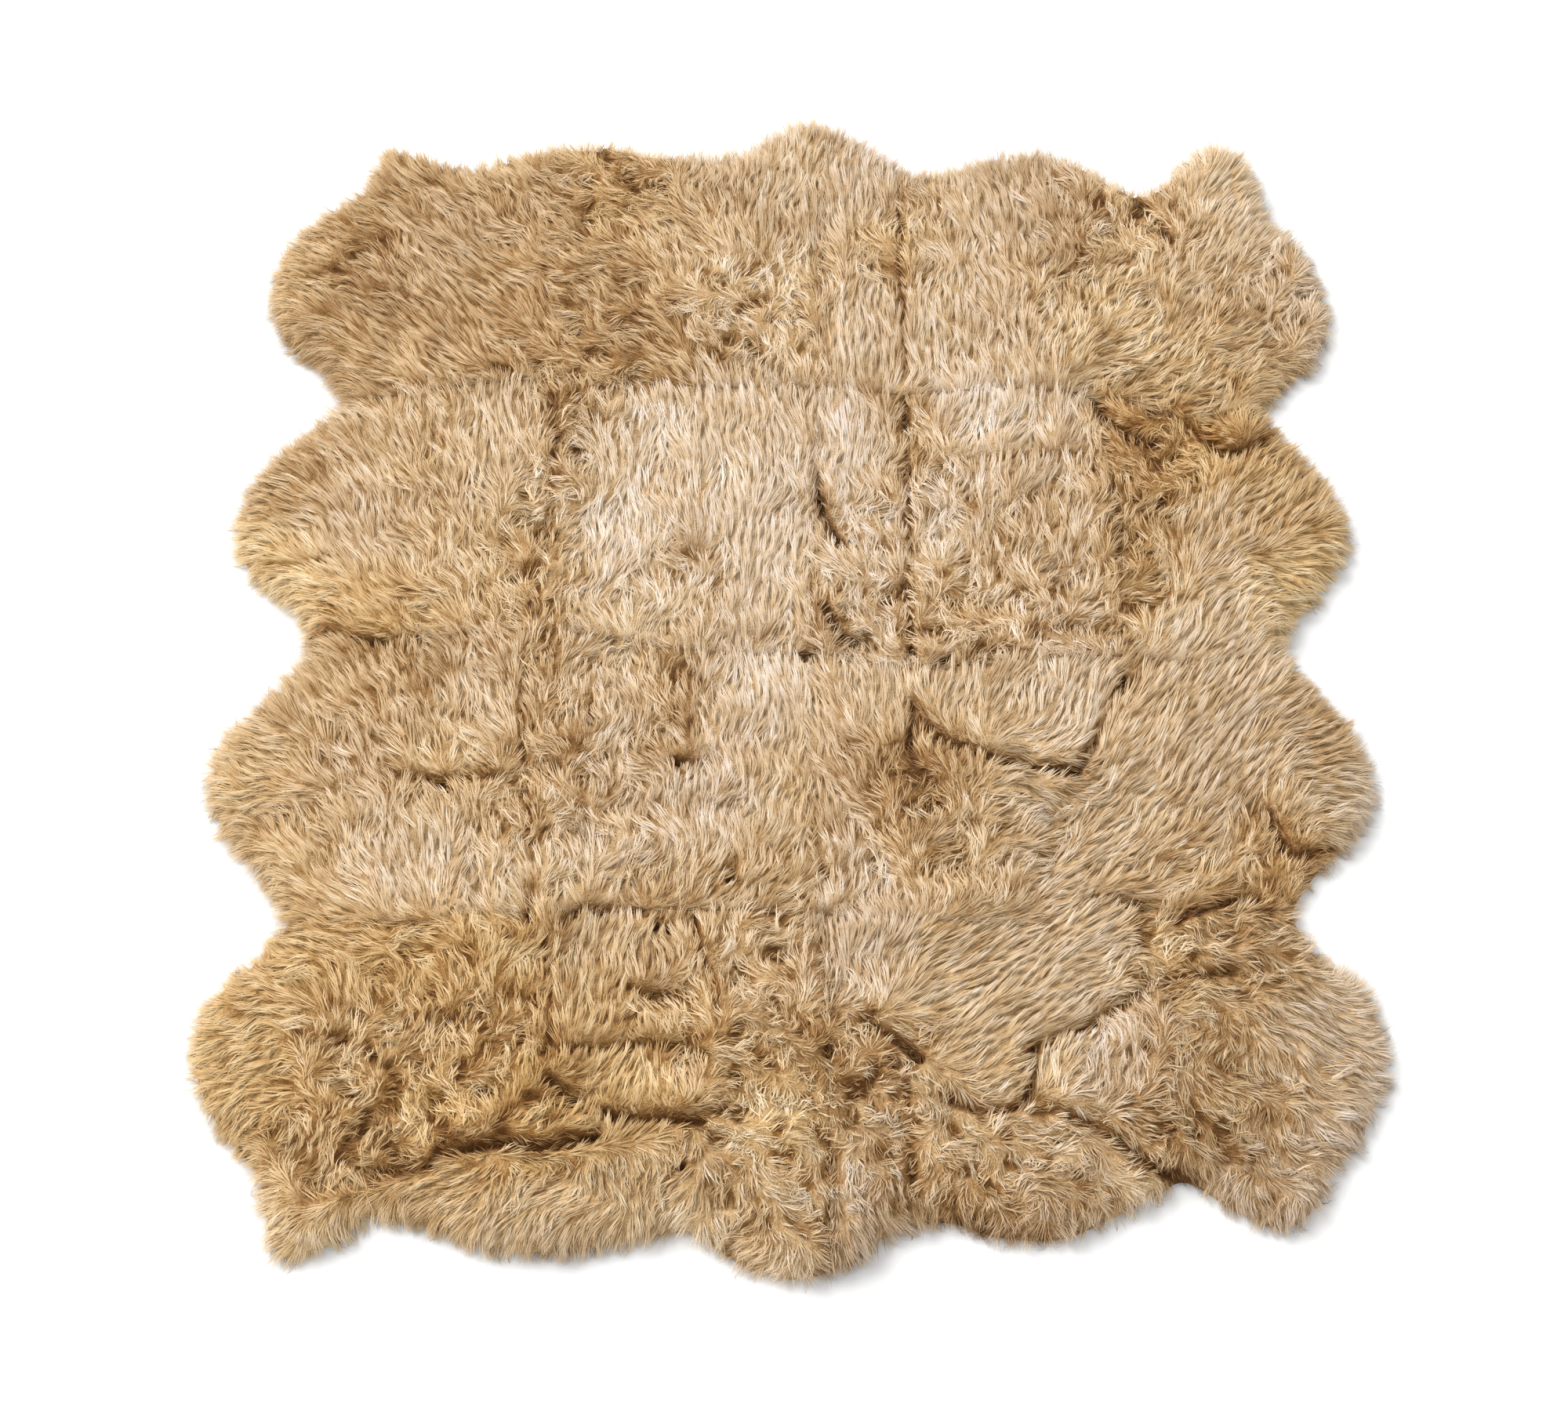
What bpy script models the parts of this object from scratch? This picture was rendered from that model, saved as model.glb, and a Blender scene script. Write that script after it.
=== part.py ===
# Sheepskin rug of eight pelts, four rows of two, sewn together along a centre seam and row seams.
# Metres, +Z up. X runs across the rug and Y from its front edge to its back edge.
# Each pelt is one closed body, hide and fleece together: level where it lies on the floor,
# lumpy on top, with tapered wool locks standing out from its free edge.

import math
import random

import bpy
import numpy as np
from mathutils import Vector, noise
from mathutils.geometry import delaunay_2d_cdt

# Fleece
PILE = 0.046                 # usual height of the wool over the floor
EDGE_HEIGHT = 0.017          # height of the wool where it ends at the free edge
EDGE_ROLL = 0.055            # width over which it rises from there to the full pile
EDGE_INSET = 0.012           # the closed wool ends this far inside the outline below
SEAM_DIP = 0.006             # how much lower the wool lies along a seam
SEAM_REACH = 0.022           # half the width of that dip
SEAM_GAP = 0.0003            # parting between pelts that are sewn together
NOTCH_DRAW = 1.25            # the inset is this much larger in the notch between two lobes

# Lumps of the fleece: wavelength and height of each set
LUMPS = ((0.210, 0.012), (0.110, 0.011))

# Wool locks at the free edge
LOCK_PITCH = 0.030           # width of a lock at its root
LOCK_LENGTH = 0.030
LOCK_SPREAD = 0.006          # how far the lengths and the sideways lean vary
LOCK_WAIST = 0.5             # where along its length a lock has its middle section
LOCK_TAPER = 0.62            # size of that section, as a share of the root
LOCK_TIP = 0.003             # height of a lock's tip over the floor
LOCK_ROOM = 0.9              # a lock near a notch is no longer than this share of its distance
LOCK_SEED = 11

# Shape of a fold across its line, in half widths
CREST_OFFSET = 1.3
TROUGH_WIDTH = 0.6

# Spacing of the surface points
SEAM_PITCH = 0.042
FOLD_PITCH = 0.028
TOP_PITCH = 0.043
BASE_PITCH = 0.160
TOP_CLEARANCE = 0.018        # points on top keep this far from each other
TOP_BORDER = 0.0125          # and this far from the pelt's outline
BASE_CLEARANCE = 0.080
BASE_BORDER = 0.056
RINGS = (0.014, 0.036)       # rows of points inside the edge, where the fleece rolls over
CURVE_STEPS = 24             # steps between two knots when a smooth line is worked out
TOUCH = 1e-6                 # points closer than this are the same point

FLEECE_COLOUR = (0.515, 0.362, 0.212, 1.0)
FLEECE_ROUGHNESS = 0.92

# Centre seam, one row of knots (x, y) for each pelt row, from the back to the front
CENTRE_SEAM = (
    ((0.060, 1.011), (0.052, 0.762), (0.050, 0.466)),
    ((0.050, 0.466), (0.036, 0.273), (0.029, 0.100), (0.026, -0.025)),
    ((0.026, -0.025), (0.025, -0.253), (0.040, -0.465)),
    ((0.040, -0.465), (0.049, -0.631), (0.051, -0.810), (0.052, -1.006)),
)

# Row seams below rows 1, 2 and 3: knots (x, y) from the centre seam out to the notch
ROW_SEAMS = {
    "left": (
        ((0.050, 0.466), (-0.172, 0.466), (-0.407, 0.481), (-0.589, 0.458), (-0.751, 0.435)),
        ((0.026, -0.025), (-0.164, -0.020), (-0.390, 0.012), (-0.614, 0.003), (-0.774, -0.005)),
        ((0.040, -0.465), (-0.205, -0.459), (-0.443, -0.465), (-0.609, -0.477), (-0.780, -0.468)),
    ),
    "right": (
        ((0.050, 0.466), (0.194, 0.451), (0.376, 0.458), (0.532, 0.443), (0.659, 0.408),
         (0.781, 0.427)),
        ((0.026, -0.025), (0.183, -0.050), (0.358, -0.038), (0.520, -0.032), (0.655, -0.044),
         (0.781, -0.010)),
        ((0.040, -0.465), (0.175, -0.471), (0.341, -0.480), (0.462, -0.450), (0.600, -0.458),
         (0.769, -0.455)),
    ),
}

# Free edge of each pelt: knots (x, y) from the front to the back of the rug
FREE_EDGES = {
    "left": (
        ((-0.751, 0.435), (-0.785, 0.500), (-0.854, 0.557), (-0.888, 0.646), (-0.874, 0.737),
         (-0.822, 0.813), (-0.748, 0.866), (-0.730, 0.910), (-0.710, 0.960), (-0.631, 0.937),
         (-0.548, 0.918), (-0.464, 0.947), (-0.326, 0.969), (-0.235, 0.952), (-0.098, 0.947),
         (-0.023, 0.999), (0.020, 1.019), (0.060, 1.011)),
        ((-0.774, -0.005), (-0.811, 0.065), (-0.855, 0.093), (-0.906, 0.165), (-0.903, 0.259),
         (-0.859, 0.338), (-0.793, 0.401), (-0.751, 0.435)),
        ((-0.780, -0.468), (-0.827, -0.393), (-0.889, -0.320), (-0.918, -0.240), (-0.900, -0.170),
         (-0.855, -0.118), (-0.800, -0.053), (-0.774, -0.005)),
        ((0.052, -1.006), (0.003, -1.018), (-0.074, -0.998), (-0.154, -0.951), (-0.215, -0.957),
         (-0.339, -0.979), (-0.434, -0.974), (-0.522, -0.944), (-0.612, -0.924), (-0.655, -0.958),
         (-0.730, -0.988), (-0.767, -0.955), (-0.792, -0.864), (-0.856, -0.792), (-0.897, -0.713),
         (-0.903, -0.650), (-0.874, -0.579), (-0.806, -0.512), (-0.780, -0.468)),
    ),
    "right": (
        ((0.781, 0.427), (0.845, 0.491), (0.881, 0.523), (0.916, 0.611), (0.881, 0.745),
         (0.823, 0.817), (0.806, 0.909), (0.741, 0.966), (0.668, 0.914), (0.632, 0.883),
         (0.591, 0.874), (0.515, 0.920), (0.432, 0.949), (0.345, 0.937), (0.260, 0.909),
         (0.215, 0.906), (0.174, 0.926), (0.110, 0.980), (0.060, 1.011)),
        ((0.781, -0.010), (0.805, 0.031), (0.863, 0.104), (0.910, 0.186), (0.886, 0.275),
         (0.833, 0.354), (0.781, 0.427)),
        ((0.769, -0.455), (0.805, -0.401), (0.871, -0.335), (0.910, -0.250), (0.885, -0.161),
         (0.833, -0.086), (0.781, -0.010)),
        ((0.052, -1.006), (0.095, -0.990), (0.130, -0.958), (0.217, -0.935), (0.292, -0.956),
         (0.387, -0.960), (0.473, -0.925), (0.533, -0.896), (0.574, -0.876), (0.640, -0.917),
         (0.700, -0.943), (0.752, -0.925), (0.799, -0.856), (0.841, -0.803), (0.878, -0.735),
         (0.888, -0.678), (0.878, -0.612), (0.848, -0.554), (0.800, -0.518), (0.769, -0.455)),
    ),
}

# Folds and partings of the fleece: crest height, trough depth, half width, then the knots
# (x, y) of the trough. The crest runs beside it, on the left of the way the knots go.
FOLDS = (
    # folds pushed up across the front rows
    (0.016, 0.014, 0.026, ((-0.600, -0.800), (-0.545, -0.862), (-0.473, -0.819), (-0.380, -0.812),
                           (-0.285, -0.804))),
    (0.015, 0.013, 0.024, ((-0.365, -0.720), (-0.315, -0.757), (-0.268, -0.777), (-0.210, -0.779),
                           (-0.135, -0.784))),
    (0.009, 0.008, 0.020, ((-0.375, -0.680), (-0.294, -0.674), (-0.190, -0.668), (-0.131, -0.686))),
    (0.008, 0.008, 0.018, ((-0.250, -0.595), (-0.191, -0.597), (-0.140, -0.585))),
    (0.008, 0.008, 0.018, ((-0.353, -0.484), (-0.330, -0.459), (-0.265, -0.456), (-0.205, -0.469))),
    (0.007, 0.009, 0.018, ((0.110, -0.638), (0.154, -0.662), (0.187, -0.690))),
    (0.010, 0.010, 0.020, ((0.225, -0.748), (0.273, -0.765), (0.331, -0.761), (0.353, -0.716),
                           (0.355, -0.670))),
    (0.014, 0.012, 0.024, ((0.400, -0.774), (0.466, -0.807), (0.521, -0.850), (0.590, -0.872))),
    (0.007, 0.006, 0.022, ((0.345, -0.680), (0.452, -0.631), (0.549, -0.570), (0.660, -0.552))),
    # folds at the notches and in the lobes
    (0.010, 0.008, 0.020, ((0.579, -0.474), (0.640, -0.446), (0.710, -0.440))),
    (0.008, 0.006, 0.018, ((0.450, -0.433), (0.497, -0.444), (0.540, -0.452))),
    (0.010, 0.010, 0.020, ((0.634, 0.410), (0.671, 0.376), (0.720, 0.340), (0.780, 0.362))),
    (0.008, 0.010, 0.020, ((0.500, 0.440), (0.554, 0.376), (0.600, 0.358))),
    (0.008, 0.010, 0.020, ((0.735, -0.300), (0.766, -0.365), (0.830, -0.352))),
    (0.008, 0.010, 0.018, ((0.645, 0.755), (0.612, 0.818), (0.584, 0.866))),
    (0.008, 0.008, 0.024, ((-0.820, 0.670), (-0.750, 0.714), (-0.680, 0.764))),
    (0.005, 0.005, 0.018, ((-0.850, 0.136), (-0.799, 0.136), (-0.745, 0.143))),
    (0.006, 0.007, 0.018, ((-0.745, 0.012), (-0.700, 0.000), (-0.645, -0.008))),
    # short folds along the centre
    (0.007, 0.010, 0.018, ((0.040, 0.302), (0.046, 0.229), (0.080, 0.165))),
    (0.006, 0.010, 0.018, ((0.050, 0.060), (0.079, 0.003), (0.115, -0.006))),
    (0.006, 0.011, 0.020, ((0.190, -0.135), (0.185, -0.200), (0.215, -0.250))),
    # partings where patches of the pelts are joined
    (0.002, 0.006, 0.016, ((0.182, 0.870), (0.185, 0.682), (0.187, 0.490))),
    (0.003, 0.008, 0.016, ((0.187, 0.440), (0.188, 0.302), (0.187, 0.115), (0.188, -0.020))),
    (0.007, 0.008, 0.018, ((0.188, -0.090), (0.267, -0.167), (0.364, -0.200), (0.461, -0.220))),
    (0.003, 0.006, 0.016, ((0.461, -0.220), (0.502, -0.120), (0.527, -0.050))),
    (0.003, 0.006, 0.016, ((0.527, 0.000), (0.528, 0.129), (0.525, 0.302), (0.510, 0.410))),
    (0.004, 0.004, 0.016, ((0.225, 0.315), (0.359, 0.331), (0.490, 0.339))),
    (0.002, 0.005, 0.016, ((-0.400, 0.450), (-0.394, 0.302), (-0.407, 0.129), (-0.415, 0.040))),
    (0.002, 0.005, 0.016, ((-0.420, -0.030), (-0.428, -0.120), (-0.416, -0.253), (-0.390, -0.430))),
    (0.002, 0.005, 0.016, ((-0.380, -0.500), (-0.365, -0.600), (-0.362, -0.700))),
    (0.002, 0.005, 0.016, ((-0.110, -0.500), (-0.114, -0.640))),
    (0.002, 0.005, 0.016, ((0.166, -0.730), (0.173, -0.880))),
    (0.004, 0.005, 0.018, ((-0.624, -0.233), (-0.550, -0.240), (-0.453, -0.233))),
)

SIDES = {"left": -1, "right": 1}
ROWS = range(4)
BACK_ROW = ROWS[0]
FRONT_ROW = ROWS[-1]


def clear_scene():
    for old in list(bpy.data.objects):
        bpy.data.objects.remove(old, do_unlink=True)


def smooth_line(knots, pitch):
    """Points at an even pitch along a smooth curve through the knots, both ends kept."""
    knots = np.array(knots, float)
    guide = np.vstack((2 * knots[0] - knots[1], knots, 2 * knots[-1] - knots[-2]))
    steps = np.linspace(0.0, 1.0, CURVE_STEPS, endpoint=False)[:, None]
    runs = []
    for before, start, end, after in zip(guide, guide[1:], guide[2:], guide[3:]):
        slope_in = (end - before) / 2
        slope_out = (after - start) / 2
        ease = 3 * steps**2 - 2 * steps**3
        runs.append(start + ease * (end - start) + (steps**3 - 2 * steps**2 + steps) * slope_in
                    + (steps**3 - steps**2) * slope_out)
    fine = np.vstack(runs + [knots[-1:]])
    along = np.concatenate(([0.0], np.cumsum(np.hypot(*np.diff(fine, axis=0).T))))
    marks = np.linspace(0.0, along[-1], max(2, round(along[-1] / pitch) + 1))
    return np.column_stack([np.interp(marks, along, fine[:, axis]) for axis in (0, 1)])


def unit(vectors):
    return vectors / np.linalg.norm(vectors, axis=-1, keepdims=True)


def measure(points, line):
    """For each point its distance to a line, the side it lies on (+1 is left of the way the
    line goes), and how far it lies past the line's ends."""
    start = line[:-1]
    step = line[1:] - start
    length = np.linalg.norm(step, axis=1)
    offset = points[:, None, :] - start[None]
    share = (offset * step).sum(2) / length**2
    nearest = start + np.clip(share, 0.0, 1.0)[..., None] * step
    gaps = np.linalg.norm(points[:, None, :] - nearest, axis=2)
    rows = np.arange(len(points))
    pick = gaps.argmin(1)
    turn = step[:, 0] * offset[..., 1] - step[:, 1] * offset[..., 0]
    past = np.zeros(len(points))
    first = pick == 0
    last = pick == len(start) - 1
    past[first] = np.maximum(past[first], -share[first, 0] * length[0])
    past[last] = np.maximum(past[last], (share[last, -1] - 1.0) * length[-1])
    return gaps[rows, pick], np.sign(turn[rows, pick]), past


def inside(points, loop):
    """Which points lie inside a closed loop."""
    x, y = points[:, :1], points[:, 1:]
    ax, ay = loop.T
    bx, by = np.roll(loop, -1, axis=0).T
    crosses = (ay > y) != (by > y)
    with np.errstate(divide="ignore", invalid="ignore"):
        reach = ax + (y - ay) * (bx - ax) / (by - ay)
    return (crosses & (x < reach)).sum(1) % 2 == 1


def outward(line, side):
    """Directions out of the rug along a free edge, which runs from front to back."""
    along = unit(np.gradient(line, axis=0))
    return side * np.column_stack((along[:, 1], -along[:, 0]))


def free_edge(row, side_name):
    """Points of one pelt's free edge, set in from its outline, and the way its wool points."""
    side = SIDES[side_name]
    line = smooth_line(FREE_EDGES[side_name][row], LOCK_PITCH)
    out = outward(line, side)
    draw = np.ones(len(line))
    # In a notch both lobes share one point, drawn in along the row seam
    if row < FRONT_ROW:
        seam = np.array(ROW_SEAMS[side_name][row])
        out[0] = unit(seam[-1] - seam[-2])
        draw[0] = NOTCH_DRAW
    if row > BACK_ROW:
        seam = np.array(ROW_SEAMS[side_name][row - 1])
        out[-1] = unit(seam[-1] - seam[-2])
        draw[-1] = NOTCH_DRAW
    # At the centre seam the wool points straight back or straight forward
    if row == BACK_ROW:
        out[-1] = (0.0, 1.0)
    if row == FRONT_ROW:
        out[0] = (0.0, -1.0)
    for _ in range(2):
        out[1:-1] = unit(out[:-2] + 2 * out[1:-1] + out[2:])
        draw[1:-1] = (draw[:-2] + 2 * draw[1:-1] + draw[2:]) / 4
    return line - EDGE_INSET * draw[:, None] * out, out


def end_at(knots, start=None, end=None):
    """The same knots with their first or last one moved."""
    moved = [tuple(knot) for knot in knots]
    if start is not None:
        moved[0] = tuple(start)
    if end is not None:
        moved[-1] = tuple(end)
    return moved


def lay_out():
    """All lines of the rug: free edges with their wool directions, row seams, centre seam."""
    edges = {(side, row): free_edge(row, side) for side in SIDES for row in ROWS}
    seams = {}
    for side in SIDES:
        for row in ROWS[:-1]:
            notch = edges[side, row][0][0]
            seams[side, row] = smooth_line(end_at(ROW_SEAMS[side][row], end=notch), SEAM_PITCH)
    back_end = edges["left", BACK_ROW][0][-1]
    front_end = edges["left", FRONT_ROW][0][0]
    centre = []
    for row in ROWS:
        start = back_end if row == BACK_ROW else None
        end = front_end if row == FRONT_ROW else None
        centre.append(smooth_line(end_at(CENTRE_SEAM[row], start, end), SEAM_PITCH))
    return edges, seams, centre


EDGES, SEAMS, CENTRE = lay_out()
FOLD_LINES = [(crest, trough, reach, smooth_line(knots, FOLD_PITCH)) for crest, trough, reach, knots in FOLDS]


def height(points):
    """Height of the fleece over the floor at each point."""
    to_edge = np.min([measure(points, line)[0] for line, _ in EDGES.values()], axis=0)
    to_seam = np.min([measure(points, line)[0] for line in list(SEAMS.values()) + CENTRE], axis=0)
    roll = np.sqrt(1.0 - (1.0 - np.minimum(to_edge / EDGE_ROLL, 1.0))**2)
    relief = -SEAM_DIP * np.exp(-(to_seam / SEAM_REACH)**2)
    for wave, rise in LUMPS:
        relief += [rise * noise.noise(Vector((x / wave, y / wave, wave))) for x, y in points]
    for crest, trough, reach, line in FOLD_LINES:
        gap, side, past = measure(points, line)
        fade = np.exp(-(past / reach)**2)
        relief += fade * (crest * np.exp(-((side * gap - CREST_OFFSET * reach) / reach)**2)
                          - trough * np.exp(-(gap / (TROUGH_WIDTH * reach))**2))
    return EDGE_HEIGHT + (PILE - EDGE_HEIGHT + relief) * roll


def pelt_outline(side, row):
    """Closed loop of one pelt, counter-clockwise, with the way the wool points along its free
    edge (zero on the seams) and which of the loop's edges carry a lock."""
    edge, out = EDGES[side, row]
    half = SEAM_GAP / 2
    seams = [(CENTRE[row], (SIDES[side] * half, 0.0))]
    runs = [CENTRE[row], edge]
    if row < FRONT_ROW:
        seams.append((SEAMS[side, row], (0.0, half)))
        runs.insert(1, SEAMS[side, row])
    if row > BACK_ROW:
        seams.append((SEAMS[side, row - 1], (0.0, -half)))
        runs.append(SEAMS[side, row - 1][::-1])
    loop = np.vstack([run[:-1] for run in runs])
    if side == "left":
        loop = loop[::-1]
    apart = np.linalg.norm(loop[:, None] - edge, axis=2)
    on_edge = apart.min(1) < TOUCH
    ways = np.where(on_edge[:, None], out[apart.argmin(1)], 0.0)
    gap = np.zeros_like(loop)
    for line, shift in seams:
        gap[np.linalg.norm(loop[:, None] - line, axis=2).min(1) < TOUCH] += shift
    return loop + gap, ways, on_edge & np.roll(on_edge, -1)


def spread(loop, candidates, clearance, border):
    """Candidates inside the loop that keep clear of its border and of each other."""
    ring = np.vstack((loop, loop[:1]))
    keep = inside(candidates, loop) & (measure(candidates, ring)[0] > border)
    chosen = np.empty((0, 2))
    for point in candidates[keep]:
        if len(chosen) == 0 or np.hypot(*(chosen - point).T).min() > clearance:
            chosen = np.vstack((chosen, point))
    return chosen


def lattice(loop, pitch):
    """Staggered rows of points over a loop's box."""
    low = loop.min(0)
    high = loop.max(0)
    rise = pitch * math.sqrt(3) / 2
    rows = []
    for number, y in enumerate(np.arange(low[1] + rise / 2, high[1], rise)):
        x = np.arange(low[0] + pitch * (0.25 + 0.5 * (number % 2)), high[0], pitch)
        rows.append(np.column_stack((x, np.full(len(x), y))))
    return np.vstack(rows)


def top_points(loop, edge, out):
    """Points on a pelt's top: rows along its free edge, then its folds, then an even spread."""
    sets = [edge[1:-1] - depth * out[1:-1] for depth in RINGS]
    for _, _, reach, line in FOLD_LINES:
        along = unit(np.gradient(line, axis=0))
        left = np.column_stack((-along[:, 1], along[:, 0]))
        sets.append(line)
        sets.append(line + CREST_OFFSET * reach * left)
    sets.append(lattice(loop, TOP_PITCH))
    return spread(loop, np.vstack(sets), TOP_CLEARANCE, TOP_BORDER)


def triangulate(loop, inner):
    """Triangles, counter-clockwise, over a loop and the points inside it."""
    points = np.vstack((loop, inner))
    count = len(loop)
    border = [(start, (start + 1) % count) for start in range(count)]
    made = delaunay_2d_cdt([Vector(point) for point in points], border, [], 0, 1e-7, True)
    source = [ids[0] for ids in made[3]]
    faces = np.array([[source[corner] for corner in face] for face in made[2]])
    return faces[inside(points[faces].mean(1), loop)].tolist()


def add_lock(corners, faces, edge, way, length, lean):
    """One tapered four-sided lock on the free edge between two points, level underneath."""
    base, top = edge
    root = (corners[base[0]] + corners[base[1]]) / 2
    across = corners[base[1]] - corners[base[0]]
    out = Vector((way[0], way[1], 0.0))
    waist = root + out * (length * LOCK_WAIST) + across.normalized() * (lean * LOCK_WAIST)
    low = []
    high = []
    for sign in (-0.5, 0.5):
        place = waist + across * (sign * LOCK_TAPER)
        low.append(len(corners))
        corners.append(place)
        high.append(len(corners))
        corners.append(place + Vector((0.0, 0.0, EDGE_HEIGHT * LOCK_TAPER)))
    tip = len(corners)
    corners.append(root + out * length + across.normalized() * lean + Vector((0.0, 0.0, LOCK_TIP)))
    faces.append((base[0], base[1], low[1], low[0]))
    faces.append((top[0], high[0], high[1], top[1]))
    faces.append((base[0], low[0], high[0], top[0]))
    faces.append((base[1], top[1], high[1], low[1]))
    faces.append((low[0], low[1], tip))
    faces.append((high[0], tip, high[1]))
    faces.append((low[0], tip, high[0]))
    faces.append((low[1], high[1], tip))


def build_pelt(side, row, material, chance):
    """One pelt: level base, lumpy top, plain walls on its seams and locks on its free edge."""
    edge, out = EDGES[side, row]
    loop, ways, locked = pelt_outline(side, row)
    count = len(loop)
    inner = top_points(loop, edge, out)
    surface = np.vstack((loop, inner))
    rises = height(surface)
    rises[:count][ways.any(axis=1)] = EDGE_HEIGHT
    corners = [Vector((x, y, z)) for (x, y), z in zip(surface, rises)]
    faces = [tuple(face) for face in triangulate(loop, inner)]

    # The base is the same loop on the floor, with a few points inside it
    base_inner = spread(loop, lattice(loop, BASE_PITCH), BASE_CLEARANCE, BASE_BORDER)
    first_base = len(corners)
    corners.extend(Vector((x, y, 0.0)) for x, y in np.vstack((loop, base_inner)))
    for face in triangulate(loop, base_inner):
        faces.append(tuple(first_base + corner for corner in reversed(face)))

    for start in range(count):
        end = (start + 1) % count
        base = (first_base + start, first_base + end)
        if not locked[start]:
            faces.append((base[0], base[1], end, start))
            continue
        way = unit(ways[start] + ways[end])
        middle = (loop[start] + loop[end]) / 2
        room = min(np.hypot(*(edge[tip] - middle)) for tip in (0, -1))
        length = LOCK_LENGTH + chance.uniform(-LOCK_SPREAD, LOCK_SPREAD)
        lean = chance.uniform(-LOCK_SPREAD, LOCK_SPREAD)
        short = min(1.0, LOCK_ROOM * room / length)
        add_lock(corners, faces, (base, (start, end)), way, length * short, lean * short)

    name = f"pelt_{side}_{row + 1}"
    mesh = bpy.data.meshes.new(name)
    mesh.from_pydata(corners, [], faces)
    mesh.materials.append(material)
    mesh.shade_smooth()
    mesh.validate()
    pelt = bpy.data.objects.new(name, mesh)
    bpy.context.scene.collection.objects.link(pelt)
    return pelt


def fleece_material(name):
    material = bpy.data.materials.new(name)
    material.use_nodes = True
    shader = material.node_tree.nodes["Principled BSDF"]
    shader.inputs["Base Color"].default_value = FLEECE_COLOUR
    shader.inputs["Roughness"].default_value = FLEECE_ROUGHNESS
    shader.inputs["Metallic"].default_value = 0.0
    return material


def centre_on_origin(pelts):
    """Bring the middle of the rug's box to the origin."""
    corners = np.array([tuple(vertex.co) for pelt in pelts for vertex in pelt.data.vertices])
    middle = (corners.min(0) + corners.max(0)) / 2
    for pelt in pelts:
        pelt.location = (-middle[0], -middle[1], 0.0)


clear_scene()
lock_chance = random.Random(LOCK_SEED)
rug = []
for side_name in SIDES:
    for row_number in ROWS:
        finish = fleece_material(f"fleece_{side_name}_{row_number + 1}")
        rug.append(build_pelt(side_name, row_number, finish, lock_chance))
centre_on_origin(rug)
bpy.context.view_layer.update()
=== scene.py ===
# Sheepskin rug of eight pelts: a dense fleece body on each pelt, wool locks grown on it with
# Geometry Nodes, and the suede side underneath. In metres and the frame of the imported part,
# apart from the tables that name another unit.
import math

import bpy
import numpy as np
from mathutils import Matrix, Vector, noise
from mathutils.geometry import delaunay_2d_cdt


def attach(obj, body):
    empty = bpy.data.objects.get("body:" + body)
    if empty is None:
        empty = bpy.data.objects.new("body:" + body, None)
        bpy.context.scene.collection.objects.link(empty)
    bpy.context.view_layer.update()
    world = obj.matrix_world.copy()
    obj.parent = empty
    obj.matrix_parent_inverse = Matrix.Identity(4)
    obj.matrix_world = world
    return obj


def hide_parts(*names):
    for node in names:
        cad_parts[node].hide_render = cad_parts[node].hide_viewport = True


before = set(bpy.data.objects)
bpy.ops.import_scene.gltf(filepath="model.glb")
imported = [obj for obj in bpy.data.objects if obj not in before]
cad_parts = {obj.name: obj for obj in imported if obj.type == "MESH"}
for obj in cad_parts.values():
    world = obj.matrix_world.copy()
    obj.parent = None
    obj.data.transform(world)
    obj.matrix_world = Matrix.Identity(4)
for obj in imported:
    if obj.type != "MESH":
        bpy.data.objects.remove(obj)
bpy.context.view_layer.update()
print("frame loaded")

# the rug's plan

rug = {
    "middle": (0.00133, 0.00148),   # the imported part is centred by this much
    "rows": range(4),
    "sides": {"left": -1, "right": 1},
    "pile": 0.046,   # usual height of the wool over the floor
    "seamDip": 0.003,
    "seamReach": 0.022,
    "seamShade": 0.16,   # painted shade along a seam; 1 is as dark as a deep crease
    "rowSeamShare": 0.35,   # how clearly a row seam shows; the centre seam's share is 1
    "lumps": ((0.210, 0.012), (0.110, 0.011)),   # wavelength and height
    "uneven": ((0.075, 0.9),),   # how a fold or seam comes and goes along its way
    "unevenRange": (0.4, 1.5),
    "hollows": ((0.034, 1.0), (0.019, 0.4)),   # the gaps among the tufts of curly wool
    "hollow": (0.14, 0.24, 0.009, 0.62),   # where they start, how fast, how deep and how dark the painted shade in them is
    "crestOffset": 1.3,   # a fold's crest lies this many half widths beside its trough
    "troughWidth": 0.38,
    "troughDepth": 1.6,
    "creaseWidth": 0.0070,
    "creaseDepth": 0.010,   # a trough this deep gets the full painted shade
    "pitCrest": 0.004,   # the height beside a pit
    "notchDraw": 1.25,   # the notches are drawn in more than the rest of the edge
    "outReach": 0.03,   # the way out of the rug is evened over this length
    "clear": 0.55,   # inner points keep this many pitches off the outline
    "touch": 1e-6,   # points nearer than this are one
    "weld": 1e-7,   # and for the triangles
    "curveSteps": 24,
    "foldPitch": 0.008,
}
lastRow = rug["rows"][-1]
pelts = [(side, row) for side in rug["sides"] for row in rug["rows"]]


def metres(table):   # a table of millimetres in metres
    return tuple(metres(row) if isinstance(row, tuple) else row / 1000 for row in table)


# the seams and free edges row by row from the back: points in millimetres, measured in the photo
centreSeam = metres((
    ((60, 1011), (52, 762), (50, 466)),
    ((50, 466), (36, 273), (29, 100), (26, -25)),
    ((26, -25), (25, -253), (40, -465)),
    ((40, -465), (49, -631), (51, -810), (52, -1006)),
))

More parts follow.
